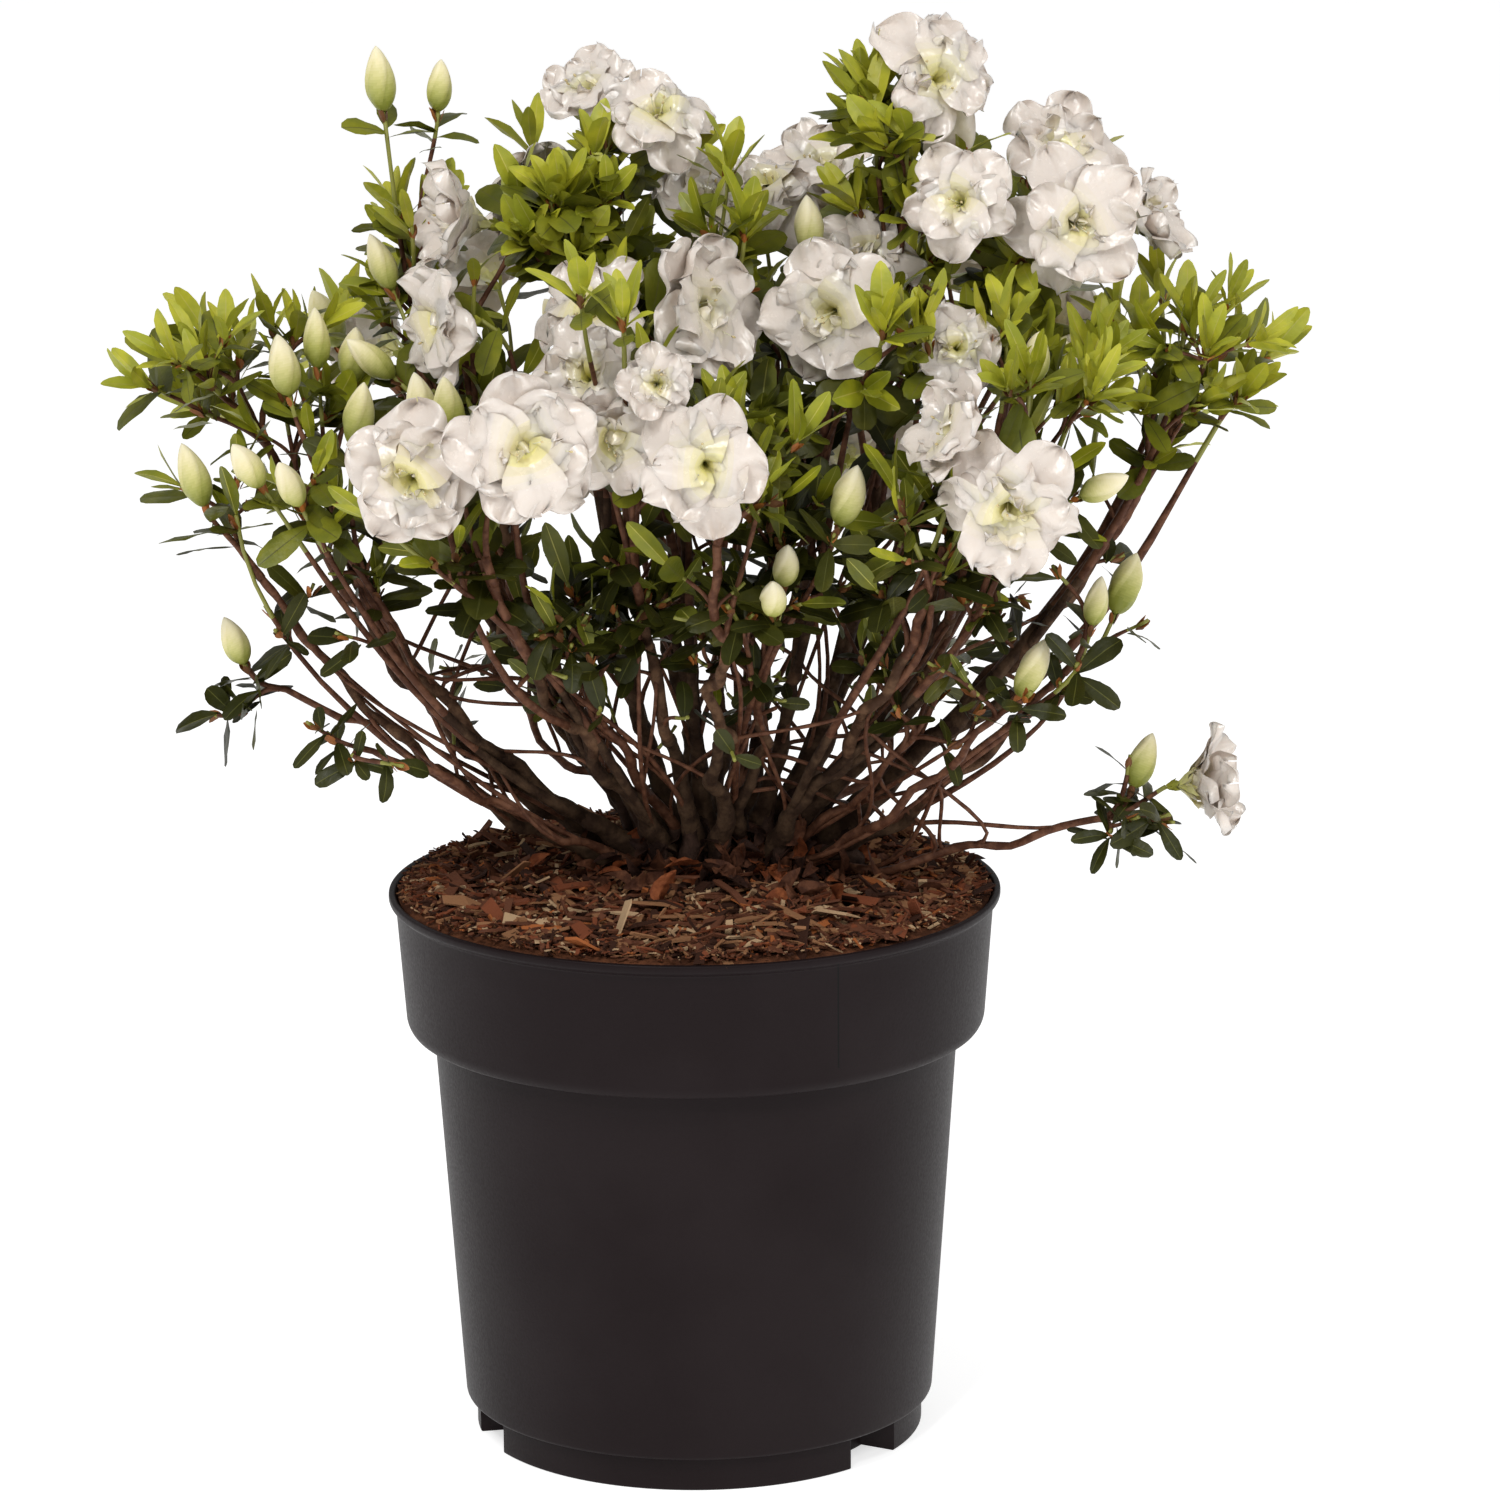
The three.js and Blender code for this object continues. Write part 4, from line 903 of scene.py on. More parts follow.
# Tufts that stand in front of the blooms, and tufts that fill the middle below them: the limb each
# grows from, and the x, y, z of its end.
FRONT_SEED = 500
FRONT_TUFTS = [
    ("front_middle", (-37, -112, 454)), ("front_middle", (-22, -116, 446)), ("centre_right", (70, -80, 436)),
    ("right_leafy", (86, -76, 430)), ("right_leafy", (122, -82, 417)), ("top_right", (80, -24, 500)),
    ("top_right", (68, -8, 506)), ("centre", (15, -16, 484)), ("centre", (21, -42, 466)),
    ("top_left", (-50, -12, 474)), ("top_left", (-34, -2, 488)), ("top_left", (-62, 2, 470)),
    ("inner_left", (-36, -70, 316)), ("front_left", (-82, -66, 352)), ("far_right", (164, -24, 424)),
    ("right_leafy", (148, -40, 418)), ("front_right", (28, -96, 392)), ("far_left", (-150, -6, 402)),
]
MIDDLE_SEED = 300
MIDDLE_TUFTS = [
    ("inner_left", (-15, -60, 336)), ("inner_front", (16, -50, 327)), ("inner_front", (40, -62, 346)),
    ("right_front", (72, -66, 339)), ("right_leafy", (91, -60, 361)), ("right_leafy", (113, -50, 326)),
    ("right_dark", (62, -45, 310)), ("inner_left", (-46, -62, 317)), ("inner_front", (0, -52, 312)),
    ("front_middle", (-25, -60, 348)), ("centre_right", (33, -45, 366)), ("right_leafy", (116, -60, 372)),
    ("centre_right", (26, -40, 395)), ("centre", (8, -52, 384)),
]
TUFT = {"share": (0.7, 0.9), "radius": 1.3, "towards": 0.4, "forwards": 0.3}
WHIP = {"each": 3, "radius": 1.1, "finer": 0.15, "tip": 0.75}


def grow_tuft(k, name, end, seed):
    """A twig from well along the limb to the end, upright there and a little forwards, with its side
    shoots."""
    number = list(LIMBS).index(name)
    start, way = place_on(LIMB_PATHS[number], int(between(TUFT["share"], number, k, 77) * (BOUGH_RINGS - 1)))
    end = np.array(end, float)
    arrive = unit(TUFT["towards"] * unit(end - start) + UP + TUFT["forwards"] * heading(-90, 0))
    line = twig(start, way, end, arrive, TUFT["radius"], TWIG_TIP, "leafy")
    add_tip(end, arrive, "leafy", number, seed + k)
    grow_side_shoots(number, 50 + k, "leafy", line)


def grow_whip(number, k):
    """A thin shoot from low on one limb to high on one of the limbs whose tips are next to it. Each
    further one starts higher up, ends lower down and is finer."""
    gaps = np.linalg.norm(column(ROWS, "tip") - ROWS[number]["tip"], axis=-1)
    other = int(np.argsort(gaps)[1 + k + int(2 * chance(number, 3 * k, 79))])
    low = 3 + int((8 + 14 * k) * chance(number, 3 * k + 1, 79))
    high = int((0.7 - 0.15 * k + 0.25 * chance(number, 3 * k + 2, 79)) * (BOUGH_RINGS - 2))
    start, way = place_on(LIMB_PATHS[number], low)
    end, arrive = place_on(LIMB_PATHS[other], high)
    twig(start, way, end, arrive, WHIP["radius"] - WHIP["finer"] * k, WHIP["tip"], "whip")


for number, row in enumerate(ROWS):
    keep_flowers(number, row)
for number, row in enumerate(ROWS):
    grow_mass(number, row)
    grow_inner_shoots(number)
    for k in range(WHIP["each"]):
        grow_whip(number, k)
for seed, tufts in ((FRONT_SEED, FRONT_TUFTS), (MIDDLE_SEED, MIDDLE_TUFTS)):
    for k, (name, end) in enumerate(tufts):
        grow_tuft(k, name, end, seed)


STUB = {"each": 2, "left_out": 0.55, "share": (0.25, 0.85), "length": (7, 22), "lean": 0.9,
        "radii": (1.1, 0.8)}


def stems_of(number, row):
    """The stem that joins a bough to its fork, or the thin limb of a spray, and up to two snapped stubs,
    each as its path and its radius at both ends."""
    if row["spray"]:
        stems = [(LIMB_PATHS[number][:: BOUGH_RINGS // 21], row["base"], row["end"])]
    else:
        share = np.linspace(0, 1, 8)[:, None]
        along = fork_of(number, row)[1]
        stems = [(row["tip"] + along * row["stem"] * share, row["end"], row["end"] * 0.85)]
    for j in range(STUB["each"]):
        if chance(number, j, 61) < STUB["left_out"]:
            continue
        start, way = place_on(LIMB_PATHS[number], int(between(STUB["share"], number, j, 63) * BOUGH_RINGS))
        out = beside(way, 2 * np.pi * chance(number, j, 65))
        share = np.linspace(0, 1, 6)[:, None]
        stub = start + unit(way + out * STUB["lean"]) * between(STUB["length"], number, j, 67) * share
        stems.append((stub, *STUB["radii"]))
    return stems


GREEN_FROM = {"leafy": 0.72, "side": 0.62, "bud": 0.84, "bloom": 0.86, "whip": 1}
OLD_WOOD = {"thicker_than": 1.9, "share": 0.3}


def wood_skins():
    """Twigs and stems as tubes. A twig is old wood at its start, young further on, green at its tip."""
    paths = column(twigs, "path")
    share = np.linspace(0, 1, TWIG_RINGS)
    thick, thin = (column(twigs, key)[:, None] for key in ("thick", "thin"))
    radii = thin + (thick - thin) * (1 - share) ** 1.3
    knobbly = 1 + 0.1 * ripple(paths, 7, 91)
    middle = (share[1:] + share[:-1]) / 2
    green_from = np.array([GREEN_FROM[kind] for kind in column(twigs, "kind")])
    old_to = np.where(thick > OLD_WOOD["thicker_than"], OLD_WOOD["share"], -1)
    tints = 1 + (middle > green_from[:, None]) - (middle < old_to)
    skins = [skin(tubes(paths, radii * knobbly, TWIG_SIDES), tints[:, :, None])]
    for number, row in enumerate(ROWS):
        for path, start, end in stems_of(number, row):
            radius = start + (end - start) * np.linspace(0, 1, len(path))
            radius = radius * (1 + 0.1 * ripple(path, 6, 92))
            skins.append(skin(tubes(path[None], radius[None], 7), 1))
    return skins


green_wood = finish("green shoot", (0.24, 0.24, 0.04), (0.4, 0.55), 900, 0.1)
wood = add_piece("twigs", wood_skins(), [bark, young_bark, green_wood])

# ---------------------------------------------------------------- leaves
# Young leaves stand up in bright tufts at the shoot ends. Below them last year's leaves, darker, wider
# and glossy, spread in a loose whorl. Each is a pointed oval, folded along its midrib.

LEAF_ROWS = 8
LEAF_ACROSS = np.array([-1, -0.55, -0.05, 0.05, 0.55, 1])
MIDRIB = 2
YOUNG = {"count": 8, "start": 0.2, "apart": 1.3, "open": 13, "widen": 6, "length": 23, "width": 7.4,
         "fold": 0.4, "bend": 0.12, "level": 0, "roll": 0.15, "taper": 0.62}
MATURE = {"count": 6, "start": 6, "apart": 1.8, "open": 60, "widen": 8, "length": 22.5, "width": 10,
          "fold": 0.2, "bend": 0.14, "level": 0.15, "roll": 0.45, "taper": 0.47}


LEAF = {"base_power": 0.8, "narrowest": 0.3, "drawn_in": 0.3, "wave": 0.11, "rolled_edge": 0.14}


def leaf_sheets(foot, along, face, length, width, fold, bend, taper=0.7):
    """The half width is a power of the share along the leaf times another power, its taper, of what is
    left. The height is the fold times the distance from the midrib, less a bend that grows as the square
    of the share along, with a slow wave along the edge."""
    v = (1 - np.cos(np.pi * np.linspace(0, 1, LEAF_ROWS)))[None, :, None] / 2
    u = LEAF_ACROSS[None, None, :]
    length, width, fold, bend = (
        np.broadcast_to(q, len(foot))[:, None, None] for q in (length, width, fold, bend)
    )
    power = LEAF["base_power"]
    widest = power / (power + taper)
    peak = widest**power * (1 - widest) ** taper
    half = np.maximum(width / 2 * v**power * (1 - v) ** taper / peak, LEAF["narrowest"])
    x = u * half
    y = v * length * (1 - LEAF["drawn_in"] * bend * v)
    wave = LEAF["wave"] * half * u * np.abs(u) * np.sin(3 * np.pi * v + 40 * bend)
    z = fold * np.abs(u) * half - LEAF["rolled_edge"] * half * u**4 - bend * length * v**2 + wave
    along = unit(along)
    side = unit(np.cross(along, face))
    top = np.cross(side, along)
    frames = [axis[:, None, None] for axis in (side, along, top)]
    return foot[:, None, None] + sum(q[..., None] * axis for q, axis in zip((x, y, z), frames))


def whorl(ends, ways, numbers, seeds, form):
    """Leaves wind down a shoot by the golden angle and open wider further down, and turn towards the
    level by a share. Gives their feet, directions and upper sides, as shoots by leaves by 3."""
    i = np.arange(form["count"])[None, :]
    number, seed = numbers[:, None], seeds[:, None]
    turn = GOLDEN_ANGLE * i + 2 * np.pi * chance(number, seed, 7)
    angle = np.radians(form["open"] + form["widen"] * i + 16 * (chance(number, seed, 11 + i) - 0.5))
    way = ways[:, None]
    out = beside(way, turn[..., None])
    along = way * np.cos(angle)[..., None] + out * np.sin(angle)[..., None]
    face = way * np.sin(angle)[..., None] - out * np.cos(angle)[..., None]
    along = unit(along * [1, 1, 1 - form["level"]] + 0.25 * form["level"] * UP)
    face = unit(face + 2.5 * form["level"] * UP)
    foot = ends[:, None] - way * (form["start"] + form["apart"] * i)[..., None]
    return foot, along, face


def in_a_bloom(places, ahead, share):
    """True for a place that lies between a bloom's foot and `ahead` of its mouth, within a share of its
    radius from its axis."""
    mouth, facing, size = (column(blooms, key) for key in ("mouth", "facing", "size"))
    apart = places[:, None] - mouth
    forward = (apart * facing).sum(-1)
    sideways = np.linalg.norm(apart - forward[..., None] * facing, axis=-1)
    inside = (forward > -0.75 * BLOOM["depth"] * size) & (forward < ahead)
    return (inside & (sideways < share * BLOOM["radius"] * size)).any(axis=1)


# Shoots high up and at the outside have daylight, and those low in the middle have shade. A leaf's
# tint is painted lighter the more daylight its shoot has, painted light and shade; daylight and shade
# also set how many leaves grow and how large. Leaves are narrower and fewer at the rim.
shoot_ends, shoot_ways, shoot_limbs = (column(tips, key) for key in ("end", "way", "limb"))
shoot_seeds, shoot_kinds = (column(tips, key) for key in ("seed", "kind"))
outwards = np.hypot(shoot_ends[:, 0] / 200, shoot_ends[:, 1] / 160)
daylight = np.clip((shoot_ends[:, 2] - 345) / 120 + 0.85 * outwards**2 - 0.2, 0, 1)
shade = np.clip((345 - shoot_ends[:, 2]) / 45, 0, 1) * np.clip((1 - outwards) / 0.35, 0, 1)
rim = np.clip((outwards - 0.6) / 0.15, 0, 1)
broad = 0.86 + 0.3 * chance(shoot_limbs, shoot_seeds, 15) + 0.12 * (shoot_seeds >= FRONT_SEED)
broad -= 0.16 * rim


def leaf_skin(form, counts, tint_of, midrib, seed):
    """One kind of leaf on all shoots, some with broader leaves than others, and up to a third smaller in
    the shade. Leaves past each shoot's count are left out, and so are those that would cut through a
    bloom or hide a flower, unless a front tuft holds them. The narrow faces down the middle take the
    midrib's tint."""
    foot, along, face = whorl(shoot_ends, shoot_ways, shoot_limbs, shoot_seeds, form)
    wanted = np.arange(form["count"])[None, :] < counts[:, None]
    shoot = np.nonzero(wanted)[0]
    foot, along, face = foot[wanted], along[wanted], face[wanted]
    draw = np.random.default_rng(seed)
    face = face + form["roll"] * draw.normal(size=(len(foot), 1)) * np.cross(along, face)
    size = draw.uniform(0.7, 1.12, len(foot)) * (1 - 0.34 * shade[shoot])
    length = form["length"] * size
    blade = along * length[:, None]
    bad = in_a_bloom(foot + blade * 0.55, 16, 0.9) | in_a_bloom(foot + blade * 0.95, 10, 0.85)
    for share in (0.3, 0.65, 1):
        bad |= (shoot_seeds[shoot] < FRONT_SEED) & hides_a_flower(foot + blade * share)
    width = form["width"] * size * draw.uniform(0.9, 1.1, len(foot)) * broad[shoot]
    fold = form["fold"] * draw.uniform(0.5, 1.4, len(foot))
    bend = form["bend"] * draw.normal(1, 0.8, len(foot))
    shapes = (q[~bad] for q in (foot, along, face, length, width, fold, bend))
    middle = np.arange(len(LEAF_ACROSS) - 1)[None, None, :] == MIDRIB
    sheets = leaf_sheets(*shapes, form["taper"])
    # Faces off the midrib take their shoot's tint, which the callers pick by daylight: painted light and
    # shade.
    return skin(sheets, np.where(middle, midrib, tint_of[shoot[~bad]][:, None, None]), closed=False)


def leaf_finish(name, colour, roughness, gloss=0.36):
    """A leaf's gloss and relief, with patches a little lighter and yellower than the colour."""
    lighter = (colour[0] * 1.4, colour[1] * 1.3, colour[2])
    return finish(name, colour, roughness, 420, 0.25, patches=(lighter, 90), Specular_IOR_Level=gloss)


leaf_draw = np.random.default_rng(31)
# Painted light and shade: a young leaf's tint steps from shaded to lime as its shoot's daylight grows.
bright = np.clip(np.round(daylight * 4 - 0.6 + leaf_draw.normal(0, 0.8, len(tips))), 0, 3).astype(int)
young_counts = 0.6 + 6.4 * daylight - 1.7 * rim + leaf_draw.uniform(-1, 1, len(tips))
young_counts = np.round(young_counts).astype(int)
young_counts[np.isin(shoot_kinds, ["bloom", "bud"])] = 0
young_counts[shoot_kinds == "inner"] = np.minimum(young_counts[shoot_kinds == "inner"], 3)
add_piece("young_leaves", [leaf_skin(YOUNG, young_counts, bright, 4, 33)], [
    leaf_finish("shaded young leaf", (0.116, 0.13, 0.009), (0.34, 0.48)),
    leaf_finish("young leaf painted half shaded", (0.2, 0.218, 0.013), (0.34, 0.48)),
    leaf_finish("young leaf painted in light", (0.262, 0.283, 0.018), (0.36, 0.5)),
    leaf_finish("young leaf painted in full light", (0.335, 0.352, 0.03), (0.36, 0.5)),
    leaf_finish("young midrib", (0.37, 0.365, 0.08), (0.4, 0.5)),
])

# Painted light and shade: a mature leaf's tint steps from darkest to mid green as its shoot's daylight
# grows.
deep = np.clip(np.round(daylight * 3.2 + leaf_draw.normal(0, 0.7, len(tips))), 0, 3).astype(int)
sparse = shade + (outwards > 0.7) * np.where(shoot_ends[:, 2] > LOW, 1.2, -1.3)
mature_counts = 3.7 - 1.3 * sparse + leaf_draw.uniform(-1.4, 1.8, len(tips))
mature_counts = np.round(mature_counts).astype(int)
mature_counts[shoot_kinds == "inner"] = np.minimum(mature_counts[shoot_kinds == "inner"], 3)
mature_leaves = add_piece("mature_leaves", [leaf_skin(MATURE, mature_counts, deep, 4, 37)], [
    leaf_finish("mature leaf painted in deep shade", (0.029, 0.032, 0.006), (0.33, 0.47), 0.2),
    leaf_finish("mature leaf painted in shade", (0.052, 0.055, 0.0085), (0.33, 0.47), 0.2),
    leaf_finish("mature leaf painted half lit", (0.086, 0.096, 0.009), (0.34, 0.48), 0.22),
    leaf_finish("mature leaf painted in light", (0.145, 0.158, 0.013), (0.35, 0.5), 0.26),
    leaf_finish("mature midrib", (0.086, 0.09, 0.021), (0.4, 0.5), 0.2),
])
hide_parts(*["spray_" + name for name, row in LIMBS.items() if row["spray"]])
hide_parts(*["mass_" + name for name, row in LIMBS.items() if not row["spray"]])

# ---------------------------------------------------------------- flowers
# A bloom is a double trumpet: five broad outer petals joined in a tube, a second ring of five inside
# it, and a heart of small twisted petals. They are white, thin and ruffled, and pale green-yellow deep
# in the throat.

OUTER = {"count": 5, "phase": 0.0, "tip": 0.98, "depth": 1.0, "open": 98, "half": 0.46, "ruffle": 2.1,
         "cup": 0.0, "curl": 0, "rows": 17, "columns": 17, "uneven": 0.11, "stretch": 0.42}
MIDDLE = {"count": 5, "phase": 0.5, "tip": 0.76, "depth": 1.08, "open": 82, "half": 0.38, "ruffle": 2.2,
          "cup": 0.05, "curl": 0, "rows": 14, "columns": 13, "uneven": 0.17, "stretch": 0.2}
HEART = {"count": 4, "phase": 0.2, "tip": 0.42, "depth": 1.08, "open": 58, "half": 0.17, "ruffle": 1.8,
         "cup": 0.2, "curl": 30, "rows": 10, "columns": 7, "uneven": 0.36, "stretch": 0}
CORE = {"count": 4, "phase": 0.6, "tip": 0.24, "depth": 0.95, "open": 50, "half": 0.12, "ruffle": 1.2,
        "cup": 0.2, "curl": 90, "rows": 10, "columns": 7, "uneven": 0.32, "stretch": 0}
PETAL = {"throat": 0.5, "row_crowding": 1.45, "tube": 0.06, "turning": 0.66, "tip_bend": 30, "sway": 9,
         "stay_closed": 0.38, "draw_in": 0.06, "broadest": 0.6, "narrowest": 0.3, "crease": (0.8, 0.2)}
DIFFER = {"open": 1.6, "reach": 1, "turn": 1.4, "depth": 0.6, "half": 1.2}
PETAL_DRAWS = ("open", "tip_bend", "reach", "turn", "slow_wave", "quick_wave", "depth", "half")


def differing(form, vary, key):
    """How many times its ring's usual value a petal has: 1, plus its own draw times the ring's
    unevenness and a factor for what differs."""
    return 1 + DIFFER[key] * form["uneven"] * vary[key]


def petal_line(form, v, size, closed, sway, vary):
    """The middle line starts up the axis and turns outwards, by an angle that is a smooth step of the
    share along it, so its distance out and its height are running sums of sine and cosine. Both are
    then scaled to the ring's reach and depth."""
    opened = form["open"] * (1 - PETAL["stay_closed"] * closed) * differing(form, vary, "open") + sway
    step = np.clip((v - PETAL["tube"]) / PETAL["turning"], 0, 1)
    tip_bend = np.radians(PETAL["tip_bend"]) * v**6 * vary["tip_bend"]
    angle = np.radians(opened) * step**1.3 * (3 - 2 * step) + tip_bend - np.radians(form["curl"]) * v**3
    out, rise = (np.cumsum(way(angle) * np.gradient(v), axis=-1) for way in (np.sin, np.cos))
    reach = form["tip"] * BLOOM["radius"] * size * (1 - PETAL["draw_in"] * closed)
    reach = reach * differing(form, vary, "reach") - PETAL["throat"]
    depth = form["depth"] * BLOOM["depth"] * size * differing(form, vary, "depth")
    out = PETAL["throat"] + out / out.max(axis=-1, keepdims=True) * reach
    rise = rise / rise.max(axis=-1, keepdims=True) * depth * (1 + form["stretch"] * closed)
    return angle, out, rise


def petal_width(form, v, size, out, vary):
    """Half the width, which blends from a share of the distance out, in the tube, to the lobe's. The
    lobe closes as a rounded end past its broadest place. Also gives the blend."""
    closing = np.clip((v - PETAL["broadest"]) / (1 - PETAL["broadest"]), 0, 1)
    lobe = form["half"] * (BLOOM["radius"] * size) * differing(form, vary, "half")
    lobe = lobe * (1 - closing**1.9) ** 0.5
    blend = np.clip((v - 0.1) / (PETAL["broadest"] - 0.1), 0, 1) ** 0.8
    return np.maximum(out * 0.8 * (1 - blend) + lobe * blend, PETAL["narrowest"]), blend


def petal_relief(form, u, v, size, half, vary):
    """How far the petal is lifted along its normal: by waves around the lobe, stronger at its edge, by
    quicker ones that crinkle its margin, and by its cup, less a crease down its middle. Also gives the
    share by which waves in the margin widen it."""
    v = v[:, None]
    around = np.arctan2(u, (v - 0.4) * 1.7)
    edge = np.clip(np.hypot(u, (v - 0.4) / 0.6) - 0.2, 0, 1) ** 1.4
    slow, quick = (6 * vary[key][..., None] for key in ("slow_wave", "quick_wave"))
    crinkle = np.sin(12.7 * around + 9 * slow) * edge**2
    waves = np.sin(3.8 * around + slow) + 0.55 * np.sin(7.9 * around + quick) + 0.8 * crinkle
    ruffle = form["ruffle"] * size[..., None] * np.clip(v * 1.5, 0, 1)
    deep, wide = PETAL["crease"]
    crease = deep * np.exp(-((u / wide) ** 2)) * np.sin(np.pi * v)
    lift = ruffle * edge * waves + form["cup"] * half[..., None] * (u**2 - 0.3) - crease
    return lift, 1 + 0.1 * np.sin(9.3 * around + 9 * quick) * edge


def petal_sheets(mouth, facing, size, spin, closed, form, draw):
    """Each petal is a grid along its middle line and half its width to both sides, which wraps round the
    tube and stands off by its relief. Rows and columns lie closer together near the margin."""
    count, flowers = form["count"], len(mouth)
    foot = mouth - facing * (BLOOM["depth"] * size)[:, None]
    size, closed = size[:, None, None], closed[:, None, None]
    v = 1 - (1 - np.linspace(0, 1, form["rows"])) ** PETAL["row_crowding"]
    u = np.sin(np.pi / 2 * np.linspace(-1, 1, form["columns"]))
    vary = dict(zip(PETAL_DRAWS, draw.uniform(-1, 1, (len(PETAL_DRAWS), flowers, count, 1))))
    sway = PETAL["sway"] * draw.uniform(-1, 1, (flowers, 1, 1))
    angle, out, rise = petal_line(form, v, size, closed, sway, vary)
    half, blend = petal_width(form, v, size, out, vary)
    lift, wider = petal_relief(form, u, v, size, half, vary)
    turn = 2 * np.pi * (np.arange(count)[None, :] + form["phase"]) / count
    turn = turn + spin[:, None] + DIFFER["turn"] * form["uneven"] * vary["turn"][..., 0]
    side = across(facing)
    upright = np.cross(side, facing)
    outward = side[:, None] * np.cos(turn)[..., None] + upright[:, None] * np.sin(turn)[..., None]
    tangent = np.cross(outward, facing[:, None])
    forward, outward, tangent = (w[..., None, None, :] for w in (facing[:, None], outward, tangent))
    half = half[..., None] * wider
    wrap = (half * u) ** 2 / (2 * np.maximum(out[..., None], 2)) * (1 - blend)[:, None]
    normal = np.sin(angle)[..., None, None] * forward - np.cos(angle)[..., None, None] * outward
    points = foot[:, None, None, None] + forward * rise[..., None, None]
    points = points + outward * (out[..., None] - wrap)[..., None]
    points = points + tangent * (u * half)[..., None] + normal * lift[..., None]
    return points.reshape(-1, form["rows"], form["columns"], 3)


SHADES = 8
BUD_SHADES = 16


def petal_skins(forms):
    """The petals of the given rings. Blooms that face sideways are only half open. A row's tint steps
    from the throat to white with its share."""
    mouth, facing, size = (column(blooms, key) for key in ("mouth", "facing", "size"))
    draw = np.random.default_rng(51)
    spin = draw.uniform(0, 2 * np.pi, len(blooms))
    closed = np.clip((0.62 - np.abs(facing @ FRONT)) / 0.3, 0, 1)
    skins = []
    for form, reach in forms:
        sheets = petal_sheets(mouth, facing, size, spin, closed, form, draw)
        share = (np.arange(form["rows"] - 1) + 0.5) / (form["rows"] - 1)
        fade = share / (reach * draw.uniform(0.8, 1.25, (len(sheets), 1)))
        tints = np.clip(np.floor(fade * (SHADES - 1)), 0, SHADES - 1).astype(int)
        skins.append(skin(sheets, tints[:, :, None], closed=False))
    return skins


def petal_finish(name, colour, roughness=(0.18, 0.3), gloss=0.75, bump=0.3):
    """A silky gloss over fine creases, and some light that spreads in the thin petal."""
    return finish(name, colour, roughness, 340, bump, Specular_IOR_Level=gloss, Subsurface_Weight=0.45,
                  Subsurface_Radius=(1, 0.95, 0.9), Subsurface_Scale=0.005)


def shaded_finishes(name, count, colours, **looks):
    """One finish for each shade: the given colours, spaced evenly and blended in a straight line."""
    stops = np.linspace(0, len(colours) - 1, count)
    blends = np.stack([np.interp(stops, range(len(colours)), part) for part in zip(*colours)], axis=-1)
    return [petal_finish(f"{name} {k + 1}", tuple(blend), **looks) for k, blend in enumerate(blends)]


# The stops run from the throat's pale green-yellow to white. The first, deepest stop is lighter than the
# white: partly the real tint, partly painted light over the shade deep in the tube.
petal_finishes = shaded_finishes("petal shade", SHADES, [
    (0.82, 0.78, 0.25), (0.77, 0.7, 0.32), (0.76, 0.68, 0.46), (0.76, 0.68, 0.57), (0.765, 0.685, 0.615),
])
add_piece("outer_petals", petal_skins([(OUTER, 0.38)]), petal_finishes)
add_piece(
    "inner_petals", petal_skins([(MIDDLE, 0.44), (HEART, 0.85), (CORE, 1.3)]), petal_finishes,
)

# Stamens: a few pale threads in each heart, each with a small straw-coloured head.
THREAD_RADIUS = 0.24
HEAD_RADII = (0.2, 0.5, 0.5, 0.15)


def stamen_skins(each=3):
    """Threads leave the foot of the bloom and lean outwards, and a short thick tube ends each."""
    draw = np.random.default_rng(57)
    mouth, facing, size = (
        np.repeat(column(blooms, key), each, axis=0) for key in ("mouth", "facing", "size")
    )
    size = size[:, None]
    lean = unit(facing + 0.26 * draw.normal(size=facing.shape))
    foot = mouth - facing * BLOOM["depth"] * size * 0.85
    end = foot + lean * (BLOOM["depth"] * size * draw.uniform(0.9, 1.2, size.shape))
    share = np.linspace(0, 1, 6)
    threads = bezier(foot, foot + facing * 6, end - lean * 4, end, share)
    heads = end[:, None] + lean[:, None] * np.linspace(-0.4, 1.5, 4)[None, :, None]
    thin = np.full(threads.shape[:2], THREAD_RADIUS)
    plump = np.broadcast_to(HEAD_RADII, heads.shape[:2])
    return [skin(tubes(threads, thin, 4), 0), skin(tubes(heads, plump, 6), 1)]


add_piece("stamens", stamen_skins(), [
    petal_finish("stamen thread", (0.7, 0.68, 0.42)),
    petal_finish("stamen head", (0.52, 0.4, 0.19)),
])

# ---------------------------------------------------------------- buds
# Buds are pointed, with their petals rolled round each other, so a few slanting ridges run up them.
# They are green at the foot and turn cream. Under each, and at the shoot ends, sit dry bud scales.

BUD = {"radius": 5.7, "length": 23, "ridges": 4, "ridge": 0.16, "slant": 1.5, "foot_power": 0.6,
       "tip_power": 0.82, "widest": 0.4225}
SEPALS = {"count": 5, "length": 5.5, "width": 3.2, "open": 24, "tint": 0}
DRY_SCALES = {"count": 3, "length": 5.4, "width": 2.8, "open": 20, "tint": 1}


